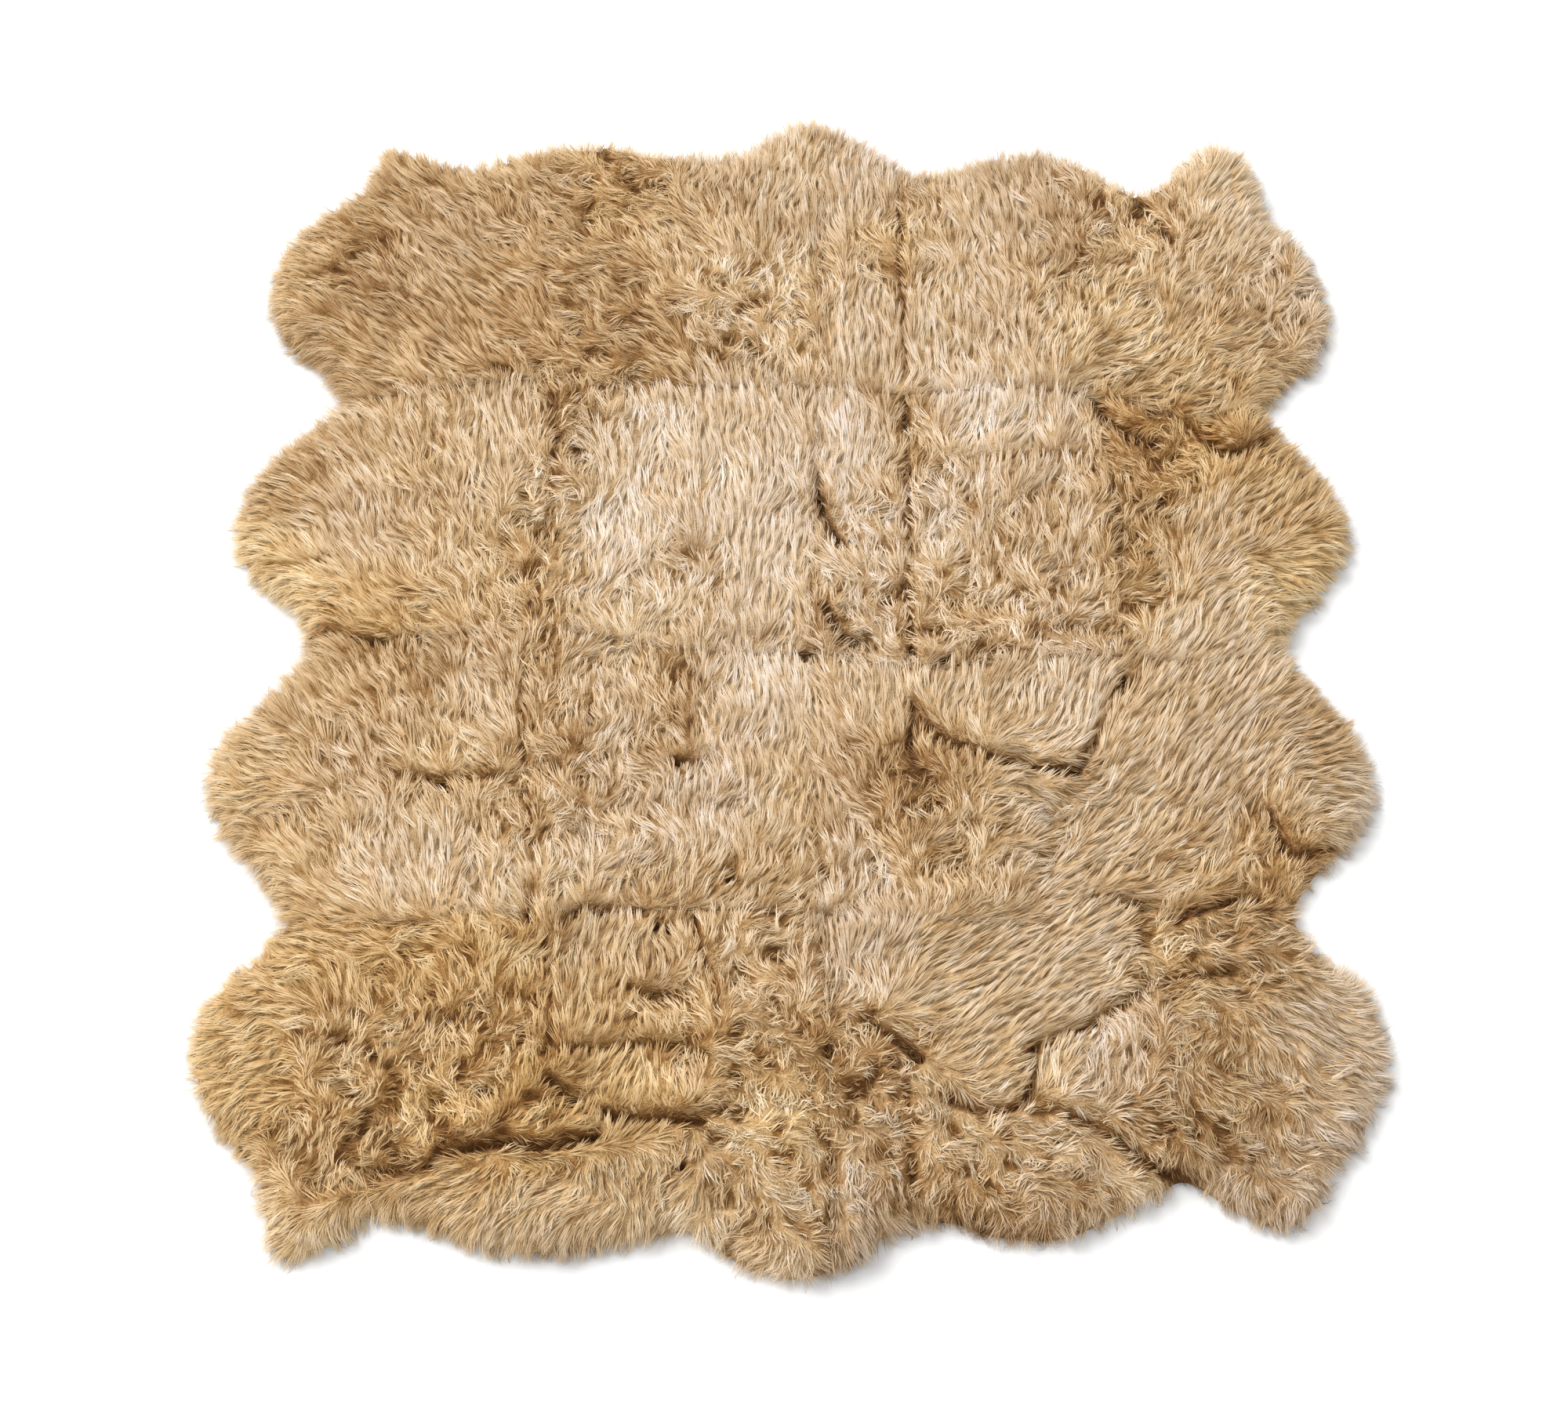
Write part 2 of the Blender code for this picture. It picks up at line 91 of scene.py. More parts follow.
rowSeams = {
    "left": metres((
        ((50, 466), (-172, 466), (-407, 481), (-589, 458), (-751, 435)),
        ((26, -25), (-164, -20), (-390, 12), (-614, 3), (-774, -5)),
        ((40, -465), (-205, -459), (-443, -465), (-609, -477), (-780, -468)),
    )),
    "right": metres((
        ((50, 466), (194, 451), (376, 458), (532, 443), (659, 408), (781, 427)),
        ((26, -25), (183, -50), (358, -38), (520, -32), (655, -44), (781, -10)),
        ((40, -465), (175, -471), (341, -480), (462, -450), (600, -458), (769, -455)),
    )),
}

freeEdges = {
    "left": metres((
        ((-751, 435), (-785, 500), (-854, 557), (-888, 646), (-874, 737), (-822, 813), (-748, 866),
         (-730, 910), (-710, 960), (-631, 937), (-548, 918), (-464, 947), (-326, 969), (-235, 952),
         (-98, 947), (-23, 999), (20, 1019), (60, 1011)),
        ((-774, -5), (-811, 65), (-855, 93), (-906, 165), (-903, 259), (-859, 338), (-793, 401),
         (-751, 435)),
        ((-780, -468), (-827, -393), (-889, -320), (-918, -240), (-900, -170), (-855, -118),
         (-800, -53), (-774, -5)),
        ((52, -1006), (3, -1018), (-74, -998), (-154, -951), (-215, -957), (-339, -979), (-434, -974),
         (-522, -944), (-612, -924), (-655, -958), (-730, -988), (-767, -955), (-792, -864),
         (-856, -792), (-897, -713), (-903, -650), (-874, -579), (-806, -512), (-780, -468)),
    )),
    "right": metres((
        ((781, 427), (845, 491), (881, 523), (916, 611), (881, 745), (823, 817), (806, 909), (741, 966),
         (668, 914), (632, 883), (591, 874), (515, 920), (432, 949), (345, 937), (260, 909), (215, 906),
         (174, 926), (110, 980), (60, 1011)),
        ((781, -10), (805, 31), (863, 104), (910, 186), (886, 275), (833, 354), (781, 427)),
        ((769, -455), (805, -401), (871, -335), (910, -250), (885, -161), (833, -86), (781, -10)),
        ((52, -1006), (95, -990), (130, -958), (217, -935), (292, -956), (387, -960), (473, -925),
         (533, -896), (574, -876), (640, -917), (700, -943), (752, -925), (799, -856), (841, -803),
         (878, -735), (888, -678), (878, -612), (848, -554), (800, -518), (769, -455)),
    )),
}

# crest height, trough depth, half width, knots of the trough; the crest is on the left of the way
# (millimetres)
folds = metres((
    (17, 14, 24, ((-505, -832), (-440, -816), (-370, -819), (-290, -806))),
    (7, 8, 18, ((-507, -775), (-515, -815), (-534, -850), (-610, -858))),
    (15, 13, 24, ((-365, -720), (-315, -757), (-268, -777), (-210, -779), (-135, -784))),
    (9, 6, 20, ((-375, -680), (-294, -674), (-190, -668), (-131, -686))),
    (6, 5, 18, ((-262, -570), (-215, -590), (-165, -588))),
    (7, 5, 18, ((-353, -484), (-330, -459), (-265, -456), (-205, -469))),
    (7, 9, 18, ((110, -638), (154, -662), (187, -690))),
    (10, 10, 20, ((225, -748), (273, -765), (331, -761), (353, -716), (355, -670))),
    (14, 12, 24, ((400, -774), (466, -807), (521, -850), (590, -872))),
    (7, 6, 22, ((345, -680), (452, -631), (549, -570), (660, -552))),
    (10, 8, 20, ((579, -474), (640, -446), (710, -440))),
    (8, 6, 18, ((450, -433), (497, -444), (540, -452))),
    (10, 10, 20, ((634, 410), (671, 376), (720, 340), (780, 362))),
    (8, 10, 20, ((500, 440), (554, 376), (600, 358))),
    (8, 10, 20, ((735, -300), (766, -365), (830, -352))),
    (8, 10, 18, ((645, 755), (612, 818), (584, 866))),
    (6, 4, 24, ((-820, 670), (-750, 714), (-680, 764))),
    (5, 5, 18, ((-850, 136), (-799, 136), (-745, 143))),
    (6, 7, 18, ((-745, 12), (-700, 0), (-645, -8))),
    (7, 10, 18, ((40, 302), (46, 229), (80, 165))),
    (6, 10, 18, ((50, 60), (79, 3), (115, -6))),
    (6, 11, 20, ((190, -135), (185, -200), (215, -250))),
    (2, 6, 16, ((182, 870), (185, 682), (187, 490))),
    (3, 8, 16, ((187, 440), (188, 302), (187, 115), (188, -20))),
    (12, 14, 22, ((188, -110), (224, -158), (271, -185), (356, -210), (438, -230))),
    (7, 10, 18, ((438, -230), (472, -176), (494, -125), (522, -66))),
    (4, 4, 14, ((527, 0), (528, 129), (525, 302), (510, 410))),
    (4, 4, 16, ((225, 315), (359, 331), (490, 339))),
    (2, 5, 16, ((-400, 450), (-394, 302), (-407, 129), (-415, 40))),
    (2, 5, 16, ((-420, -30), (-428, -120), (-416, -253), (-390, -430))),
    (2, 5, 16, ((-380, -500), (-365, -600), (-362, -700))),
    (4, 5, 15, ((-155, -455), (-141, -520), (-118, -580), (-112, -640))),
    (6, 10, 15, ((-404, -415), (-399, -475))),
    (2, 5, 16, ((166, -730), (173, -880))),
    (4, 5, 18, ((-624, -233), (-550, -240), (-453, -233))),
))

# short deep dips, each with painted shade in it: depth, half width and the ends of each (millimetres)
pits = metres((
    (13, 15, (14, -30), (36, -32)), (13, 15, (74, 2), (98, -8)), (12, 14, (48, 252), (52, 234)),
    (14, 16, (338, -22), (364, -28)), (13, 15, (238, -36), (262, -34)),
    (13, 15, (516, -90), (530, -74)), (12, 15, (188, -12), (190, -36)), (12, 14, (180, 98), (184, 78)),
    (13, 15, (-498, 502), (-474, 496)), (13, 15, (-78, 558), (-60, 538)),
    (12, 14, (-210, -482), (-190, -488)), (13, 14, (-96, -392), (-98, -412)),
    (12, 14, (-552, -246), (-536, -256)), (12, 14, (-170, -850), (-154, -858)),
    (12, 14, (-186, -210), (-166, -216)), (13, 15, (40, -386), (53, -395)),
))

# how the wool lies: x and y in centimetres, the way the tips point (degrees, 90 is back), then in
# tenths how curly it is, pale (+) or deep (-), warm (+) or grey (-)
woolPatches = {
    "left back": (
        (-71, 88, 150, 2, -10, 0), (-83, 70, 170, 0, -5, 5), (-73, 56, 150, 1, -10, 0),
        (-72, 71, 145, 5, -10, 0), (-60, 73, 137, 1, -10, -5), (-49, 60, 140, 1, -10, 0),
        (-43, 83, 135, 3, -5, 0), (-41, 53, 150, 5, -5, 0), (-33, 68, 158, 3, -10, 0),
        (-29, 85, 200, 9, 0, 5), (-24, 57, 155, 4, -10, 0), (-18, 73, 112, 4, 0, 0),
        (-35, 54, 185, 8, -5, 0), (-10, 83, 88, 2, -5, -5), (-8, 62, 95, 10, 10, 0),
        (-1, 91, 75, 1, 5, 0), (1, 60, 90, 6, 5, 0),
    ),
    "right back": (
        (12, 84, 92, 0, 0, -10), (12, 57, 90, 0, 0, -5), (19, 76, 100, 8, 5, 5),
        (27, 76, 103, 1, 0, -5), (34, 57, 97, 2, 0, -5), (43, 81, 112, 2, -5, -10),
        (56, 79, 100, 10, 0, 0), (47, 65, 75, 6, 0, 0), (55, 56, 28, 4, 5, 5), (78, 83, 50, 0, 5, 0),
        (69, 65, 58, 3, 0, 0), (72, 51, 35, 3, 0, 5), (85, 64, 75, 6, 5, -5), (64, 48, 15, 3, 0, 5),
    ),
    "left second": (
        (-82, 27, 166, 1, -10, 0), (-84, 13, 178, 1, 10, 15), (-71, 35, 125, 1, 0, 0),
        (-71, 19, 112, 1, 0, -5), (-58, 36, 111, 4, 0, 0), (-47, 36, 92, 1, 0, -5),
        (-57, 19, 110, 3, 0, 0), (-47, 11, 118, 7, 5, 5), (-67, 5, 148, 4, 0, 10),
        (-38, 30, 60, 8, 5, 0), (-36, 40, 65, 9, -5, 0), (-41, 10, 72, 8, 0, 0),
        (-27, 35, 92, 1, 10, -5), (-28, 17, 80, 0, 15, -5), (-18, 23, 101, 1, 5, -5),
        (-20, 11, 100, 8, 5, -5), (-8, 39, 97, 1, 5, -5), (-5, 17, 77, 1, 10, -5),
        (-23, 3, 85, 4, 10, 0), (-1, 3, 82, 2, 5, -5),
    ),
    "right second": (
        (10, 36, 92, 0, 10, -10), (10, 17, 92, 7, 10, -5), (19, 36, 80, 8, -10, 0),
        (28, 39, 80, 1, 15, -5), (42, 38, 76, 1, 5, -5), (26, 20, 95, 5, 10, -5),
        (39, 19, 80, 4, -5, -5), (48, 12, 78, 4, 10, -5), (48, 30, 77, 2, 5, -5),
        (26, 6, 85, 10, 5, 0), (40, 4, 79, 8, 0, -5), (11, 2, 100, 9, 5, -5),
        (56, 32, 130, 10, -10, 5), (63, 36, 175, 7, 0, 10), (54, 13, 76, 9, -5, 10),
        (67, 17, 56, 1, -5, -5), (78, 27, 42, 1, -5, 5), (68, 2, 55, 1, 10, 0),
        (80, 7, 330, 3, 10, 15),
    ),
    "left third": (
        (-74, -9, 130, 1, -5, 0), (-83, -23, 180, 2, 0, 5), (-63, -9, 120, 4, -5, 0),
        (-52, -8, 122, 3, -5, -5), (-68, -25, 115, 4, -5, -5), (-53, -24, 115, 5, 5, 5),
        (-46, -12, 100, 1, 0, -5), (-38, -12, 78, 8, -5, 0), (-39, -27, 85, 8, 0, 0),
        (-61, -38, 100, 2, 5, -5), (-76, -38, 142, 2, 0, 5), (-47, -40, 82, 4, 10, 0),
        (-27, -11, 85, 4, 10, -5), (-19, -8, 100, 9, -15, 0), (-17, -18, 95, 4, -10, -5),
        (-10, -9, 98, 1, 15, -5), (-8, -16, 96, 1, 5, -5), (-26, -31, 98, 6, 5, -5),
        (-11, -27, 95, 3, 10, -10), (-17, -40, 60, 3, 0, 0), (-6, -40, 45, 3, -5, 0),
        (0, -25, 78, 2, 5, 5),
    ),
    "right third": (
        (10, -11, 106, 1, 0, -5), (8, -27, 113, 2, -10, -10), (9, -40, 90, 3, 5, -5),
        (28, -8, 72, 1, -5, -5), (42, -11, 70, 1, 5, -5), (22, -24, 130, 9, -15, 0),
        (27, -15, 74, 1, 5, 0), (34, -24, 318, 3, 5, 0), (25, -34, 85, 6, 0, 0),
        (38, -34, 28, 3, 0, -5), (56, -11, 54, 0, 0, 0), (68, -16, 54, 0, 0, -5),
        (65, -29, 57, 0, -5, -5), (50, -32, 42, 1, 5, 0), (80, -19, 14, 1, -5, 0),
        (83, -29, 338, 1, 5, -5), (77, -37, 85, 8, -5, 5), (58, -41, 38, 3, -5, 0),
    ),
    "left front": (
        (-70, -51, 152, 3, 0, 10), (-82, -61, 190, 3, 0, 10), (-58, -53, 175, 6, -5, 10),
        (-46, -56, 95, 7, 0, 10), (-63, -67, 45, 8, 0, 5), (-48, -67, 60, 8, -5, 5),
        (-82, -75, 218, 3, 0, 10), (-67, -81, 50, 8, -5, 5), (-72, -94, 215, 2, 5, 5),
        (-52, -75, 60, 10, 5, 10), (-38, -79, 20, 8, -5, 15), (-51, -91, 212, 1, -5, 5),
        (-37, -89, 220, 2, 0, 0), (-28, -52, 78, 1, 0, 0), (-28, -63, 74, 2, -5, 5),
        (-27, -74, 70, 1, 0, 10), (-15, -64, 110, 8, 0, 5), (-22, -88, 260, 2, 5, 5),
        (-13, -91, 275, 6, 5, 0), (-9, -57, 78, 8, 5, 0), (-6, -72, 340, 10, 5, 5),
        (-1, -81, 320, 10, 15, 10), (-1, -91, 285, 7, 5, 0),
    ),
    "right front": (
        (9, -52, 92, 1, 0, -10), (9, -69, 340, 10, 0, 0), (10, -81, 275, 9, 0, -5),
        (11, -94, 280, 2, 0, -10), (26, -57, 27, 0, 0, 0), (41, -51, 30, 0, 5, 0),
        (31, -67, 33, 0, 0, 0), (24, -83, 255, 7, 10, 5), (24, -93, 270, 5, -25, -10),
        (33, -82, 20, 10, 10, 0), (37, -94, 285, 7, -10, -10), (44, -86, 320, 7, 10, 0),
        (51, -68, 97, 6, 5, -10), (61, -68, 285, 4, -5, 0), (57, -56, 325, 8, 5, 5),
        (70, -51, 340, 6, 0, 0), (69, -73, 278, 5, -5, 0), (57, -81, 295, 8, -5, 0),
        (67, -90, 292, 5, 0, -10), (80, -68, 325, 1, 5, -5), (77, -83, 315, 4, 5, -10),
    ),
}
patchUnits = (100, 100, 1, 10, 10, 10)   # what a metre, a degree and a whole are in the table


def smoothLine(knots, pitch):   # even points on a smooth curve through the knots
    knots = np.array(knots, float)
    guide = np.vstack((2 * knots[0] - knots[1], knots, 2 * knots[-1] - knots[-2]))
    steps = np.linspace(0.0, 1.0, rug["curveSteps"], endpoint=False)[:, None]
    runs = []
    for before, start, end, after in zip(guide, guide[1:], guide[2:], guide[3:]):
        ease = 3 * steps**2 - 2 * steps**3
        runs.append(start + ease * (end - start)
                    + (steps**3 - 2 * steps**2 + steps) * (end - before) / 2
                    + (steps**3 - steps**2) * (after - start) / 2)
    fine = np.vstack(runs + [knots[-1:]])
    along = np.concatenate(([0.0], np.cumsum(np.hypot(*np.diff(fine, axis=0).T))))
    marks = np.linspace(0.0, along[-1], max(2, round(along[-1] / pitch) + 1))
    return np.column_stack([np.interp(marks, along, fine[:, axis]) for axis in (0, 1)])


allFolds = folds + tuple((rug["pitCrest"], *pit[:2], pit[2:]) for pit in pits)
foldLines = [(crest, trough, reach, smoothLine(knots, rug["foldPitch"]))
             for crest, trough, reach, knots in allFolds]


def unit(vectors):
    return vectors / np.linalg.norm(vectors, axis=-1, keepdims=True)


def measure(points, line):   # distance to a line, the side of it, how far past its ends
    start = line[:-1]
    step = line[1:] - start
    length = np.linalg.norm(step, axis=1)
    offset = points[:, None, :] - start[None]
    share = (offset * step).sum(2) / length**2
    nearest = start + np.clip(share, 0.0, 1.0)[..., None] * step
    gaps = np.linalg.norm(points[:, None, :] - nearest, axis=2)
    rows = np.arange(len(points))
    pick = gaps.argmin(1)
    turn = step[:, 0] * offset[..., 1] - step[:, 1] * offset[..., 0]
    past = np.zeros(len(points))
    first = pick == 0
    last = pick == len(start) - 1
    past[first] = np.maximum(past[first], -share[first, 0] * length[0])
    past[last] = np.maximum(past[last], (share[last, -1] - 1.0) * length[-1])
    return gaps[rows, pick], np.sign(turn[rows, pick]), past


def inside(points, loop):
    x, y = points[:, :1], points[:, 1:]
    ax, ay = loop.T
    bx, by = np.roll(loop, -1, axis=0).T
    crosses = (ay > y) != (by > y)
    with np.errstate(divide="ignore", invalid="ignore"):
        reach = ax + (y - ay) * (bx - ax) / (by - ay)
    return (crosses & (x < reach)).sum(1) % 2 == 1


def freeEdge(side, row, inset, pitch):   # one pelt's free edge, set in, and the way out of the rug
    line = smoothLine(freeEdges[side][row], pitch)
    along = unit(np.gradient(line, axis=0))
    out = rug["sides"][side] * np.column_stack((along[:, 1], -along[:, 0]))
    draw = np.ones(len(line))
    for end, seam, straight in ((0, row, -1.0), (-1, row - 1, 1.0)):   # its front and back ends
        if 0 <= seam < lastRow:
            out[end] = unit(np.diff(rowSeams[side][seam][-2:], axis=0)[0])
            draw[end] = rug["notchDraw"]
        else:
            out[end] = (0.0, straight)
    for _ in range(round(2 * (rug["outReach"] / pitch)**2)):
        out[1:-1] = unit(out[:-2] + 2 * out[1:-1] + out[2:])
        draw[1:-1] = (draw[:-2] + 2 * draw[1:-1] + draw[2:]) / 4
    return line - inset * draw[:, None] * out, out


def layOut(inset, pitch):   # every line of the rug at one inset and pitch
    edges = {pelt: freeEdge(*pelt, inset, pitch) for pelt in pelts}
    seams = {(side, row): smoothLine((*rowSeams[side][row][:-1], edges[side, row][0][0]), pitch)
             for side, row in pelts if row < lastRow}
    centre = [list(knots) for knots in centreSeam]
    centre[0][0] = edges["left", 0][0][-1]
    centre[-1][-1] = edges["left", lastRow][0][0]
    return edges, seams, [smoothLine(knots, pitch) for knots in centre]


def peltLoop(plan, side, row, gap):   # closed outline of one pelt, counter-clockwise
    edges, seams, centre = plan
    way = rug["sides"][side]
    parts = [(centre[row], (way * gap / 2, 0.0))]
    if row < lastRow:
        parts.append((seams[side, row], (0.0, gap / 2)))
    parts.append((edges[side, row][0], (0.0, 0.0)))
    if row > 0:
        parts.append((seams[side, row - 1][::-1], (0.0, -gap / 2)))
    points = np.vstack([line[:-1] for line, _ in parts])

    def on(line):
        return np.linalg.norm(points[:, None] - line, axis=2).min(1) < rug["touch"]

    shift = np.zeros_like(points)
    for line, move in parts:
        shift[on(line)] += move
    free = on(edges[side, row][0])
    return (points + shift)[::way], free[::way]


def within(points, loop, apart):   # those inside the loop and further than this from it
    points = points[inside(points, loop)]
    return points[measure(points, np.vstack((loop, loop[:1])))[0] > apart]


def lattice(loop, pitch):
    low = loop.min(0)
    high = loop.max(0)
    rows = []
    for number, y in enumerate(np.arange(low[1], high[1], pitch * math.sqrt(3) / 2)):
        x = np.arange(low[0] + pitch / 2 * (number % 2), high[0], pitch)
        rows.append(np.column_stack((x, np.full(len(x), y))))
    return within(np.vstack(rows), loop, pitch * rug["clear"])


def creasePoints(loop):   # closer points along every crease, so that it stays sharp
    points = []
    for _, _, reach, line in foldLines:
        along = unit(np.gradient(line, axis=0))
        across = np.column_stack((-along[:, 1], along[:, 0]))
        for offset in fleece["creaseOffsets"]:
            points.append(line + offset * reach * across)
    return within(np.vstack(points), loop, fleece["closest"])


def thin(points, apart):   # drops each point that is too near to one before it
    kept, cells = [], {}
    for point in points:
        home = tuple(np.floor(point / apart).astype(int))
        near = [other for x in (-1, 0, 1) for y in (-1, 0, 1)
                for other in cells.get((home[0] + x, home[1] + y), ())]
        if all(math.dist(point, other) >= apart for other in near):
            kept.append(point)
            cells.setdefault(home, []).append(point)
    return np.array(kept)


def triangulate(loop, inner):
    points = np.vstack((loop, inner)) if len(inner) else loop
    count = len(loop)
    border = [(start, (start + 1) % count) for start in range(count)]
    made = delaunay_2d_cdt([Vector(point) for point in points], border, [], 0, rug["weld"], True)
    source = [ids[0] for ids in made[3]]
    faces = np.array([[source[corner] for corner in face] for face in made[2]])
    return faces[inside(points[faces].mean(1), loop)].tolist()


def ripple(points, sets):   # soft noise: wavelength and height of each set
    relief = np.zeros(len(points))
    for wave, rise in sets:
        relief += [rise * noise.noise(Vector((x / wave, y / wave, wave))) for x, y in points]
    return relief


patches = np.array([row for rows in woolPatches.values() for row in rows]) / patchUnits
patchPelts = np.array([pelt for pelt, rows in enumerate(woolPatches.values()) for row in rows])


def relief(points, plan, curl):   # the height that every form adds, and how deep in a crease it is, which is painted as shade
    _, seams, centre = plan
    shares = [(line, rug["rowSeamShare"]) for line in seams.values()] + [(line, 1.0) for line in centre]
    seam = np.zeros(len(points))
    for line, share in shares:
        seam = np.maximum(seam, share * np.exp(-(measure(points, line)[0] / rug["seamReach"])**2))
    uneven = np.clip(1.0 + ripple(points, rug["uneven"]), *rug["unevenRange"])
    shape = ripple(points, rug["lumps"]) - rug["seamDip"] * uneven * seam
    # painted shade along the seams, where the wool dips
    crease = rug["seamShade"] * uneven * seam
    edge, span, drop, hollowShade = rug["hollow"]
    hollow = np.clip((ripple(points, rug["hollows"]) - edge) / span, 0.0, 1.0) * curl
    shape -= drop * hollow
    # painted shade in the hollows
    crease = np.maximum(crease, hollowShade * hollow)
    for crest, trough, reach, line in foldLines:
        gap, side, past = measure(points, line)
        fade = uneven * np.exp(-(past / reach)**2)
        dip = np.exp(-(gap / (rug["troughWidth"] * reach))**2)
        shape += fade * (crest * np.exp(-((side * gap - rug["crestOffset"] * reach) / reach)**2)
                         - rug["troughDepth"] * trough * dip)
        # a line of painted shade along each fold's trough and in each pit, with the darker roots that
        # show there, darkest where the trough is deepest
        core = np.exp(-(gap / rug["creaseWidth"])**2)
        crease = np.maximum(crease, fade * core * min(1.0, trough / rug["creaseDepth"]))
    return shape, crease


def nearestEdge(points, plan):   # distance to the free edge and the way out there
    best = np.full(len(points), np.inf)
    way = np.zeros_like(points)
    for line, out in plan[0].values():
        apart = np.linalg.norm(points[:, None] - line, axis=2)
        pick = apart.argmin(1)
        near = apart.min(1)
        closer = near < best
        best[closer] = near[closer]
        way[closer] = out[pick[closer]]
    return best, way


# fleece: the dense wool of each pelt

fleece = {
    "inset": 0.0078,   # from the rug's outline to the body of the fleece
    "pitch": 0.0105,   # spacing of its points
    "closest": 0.0048,   # and the least distance between two
    "creaseOffsets": (0.0, -0.28, 0.28, -0.62, 0.62),   # rows of points beside a crease, in half widths
    "gap": 0.0006,   # parting between neighbours
    "floor": 0.0036,   # height of its underside, on the hide
    "edge": 0.0075,   # height where it ends at the free edge
    "nap": 0.0085,   # depth of the locks that stand over it
    "sway": (0.050, 0.45, 3.4),   # wavelength and turn of the clumps, and the added turn of curly ones
    "roll": 0.046,   # width over which the edge rises
    "tufts": ((0.052, 0.008),),   # wavelength and height
    "patchStray": (0.130, 0.035),   # how the borders of the patches wander, as a wave
    "strayFrom": (3.7, 8.1),   # the places in the noise that it is read from
    "wayReach": 0.075,   # how softly the way of the wool turns from patch to patch
    "least": 1e-6,   # keeps that way from being nothing
    "lookReach": 0.070,   # how softly its curl and colour change
    "patchSeam": 0.006,   # how much a seam keeps the patches beyond it out
    "rimReach": 0.060,   # near the free edge the wool turns outward
    "rimPale": 0.4,   # and grows paler
    "rimSway": 0.5,   # and sways less
}

fleecePlan = layOut(fleece["inset"], fleece["pitch"])


def wayOfWool(points, pelt, toEdge, wayOut):
    stray = [ripple(points + shift, (fleece["patchStray"],)) for shift in fleece["strayFrom"]]
    points = points + np.column_stack(stray)
    apart = ((points[:, None] - patches[None, :, :2])**2).sum(2)
    near = apart - apart.min(1, keepdims=True) + fleece["patchSeam"] * (patchPelts != pelt)
    angle = np.radians(patches[:, 2])
    weight = np.exp(-near / fleece["wayReach"]**2)
    way = unit(weight @ np.column_stack((np.cos(angle), np.sin(angle))) + fleece["least"])
    weight = np.exp(-near / fleece["lookReach"]**2)
    look = weight @ patches[:, 3:] / weight.sum(1, keepdims=True)
    rim = np.clip(1.0 - toEdge / fleece["rimReach"], 0.0, 1.0)[:, None]
    rim = rim * rim * (3 - 2 * rim)
    way = unit(way * (1 - rim) + wayOut * rim)
    wave, straight, curly = fleece["sway"]
    turn = ripple(points, ((wave, 1.0),)) * (straight + curly * look[:, 0])
    turn *= 1 - fleece["rimSway"] * rim[:, 0]
    look[:, 1] += fleece["rimPale"] * rim[:, 0]
    return np.column_stack((way[:, 0] * np.cos(turn) - way[:, 1] * np.sin(turn),
                            way[:, 0] * np.sin(turn) + way[:, 1] * np.cos(turn))), look, rim[:, 0]


def place(name, data):   # an object of the data, in the scene
    made = bpy.data.objects.new(name, data)
    bpy.context.scene.collection.objects.link(made)
    return made


def makeObject(name, corners, faces, material):
    mesh = bpy.data.meshes.new(name)
    mesh.from_pydata(corners, [], faces)
    mesh.materials.append(material)
    mesh.shade_smooth()
    return place(name, mesh)


def raised(points, z):   # a list of corners over the points
    return np.column_stack((points, np.broadcast_to(z, len(points)))).tolist()


def slabFaces(over, under, first, count):   # two outer sides and the wall of count points between
    faces = [tuple(face) for face in over]
    faces += [tuple(first + corner for corner in reversed(face)) for face in under]
    return faces + [(first + start, first + (start + 1) % count, (start + 1) % count, start)
                    for start in range(count)]


def makeFleece(side, row, material):
    loop, free = peltLoop(fleecePlan, side, row, fleece["gap"])
    fine = creasePoints(loop)
    inner = thin(np.vstack((fine, lattice(loop, fleece["pitch"]))), fleece["closest"])
    points = np.vstack((loop, inner))
    toEdge, wayOut = nearestEdge(points, fleecePlan)
    pelt = 2 * row + (side == "right")
    way, look, rim = wayOfWool(points, pelt, toEdge, wayOut)
    shape, crease = relief(points, fleecePlan, look[:, 0])
    roll = np.sqrt(1.0 - (1.0 - np.minimum(toEdge / fleece["roll"], 1.0))**2)
    full = rug["pile"] - fleece["nap"] + shape + ripple(points, fleece["tufts"])
    z = fleece["edge"] + (full - fleece["edge"]) * roll
    z = np.maximum(z, fleece["edge"])   # the deepest creases stay over the hide
    z[:len(loop)][free] = fleece["edge"]
    middle = rug["middle"]
    corners = raised(points + middle, z) + raised(loop + middle, fleece["floor"])
    faces = slabFaces(triangulate(loop, inner), triangulate(loop, []), len(points), len(loop))
    body = makeObject(f"fleece_{side}_{row + 1}", corners, faces, material)
    level, grows = np.zeros(len(points)), np.ones(len(points))
    # tone holds pale, warm and the painted shade of creases, seams and hollows
    values = np.column_stack((way, level, look[:, 0], rim, grows, look[:, 1:], crease))
    values = np.vstack((values, values[:len(loop)])).astype(np.float32)   # the base as the edge over it
    values[len(points):, 5] = 0.0   # no wool grows on the base
    for first, name in ((0, "comb"), (3, "wool"), (6, "tone")):
        attribute = body.data.attributes.new(name, "FLOAT_VECTOR", "POINT")
        attribute.data.foreach_set("vector", values[:, first:first + 3].ravel())
    return body


vectors = {"data_type": "FLOAT_VECTOR"}


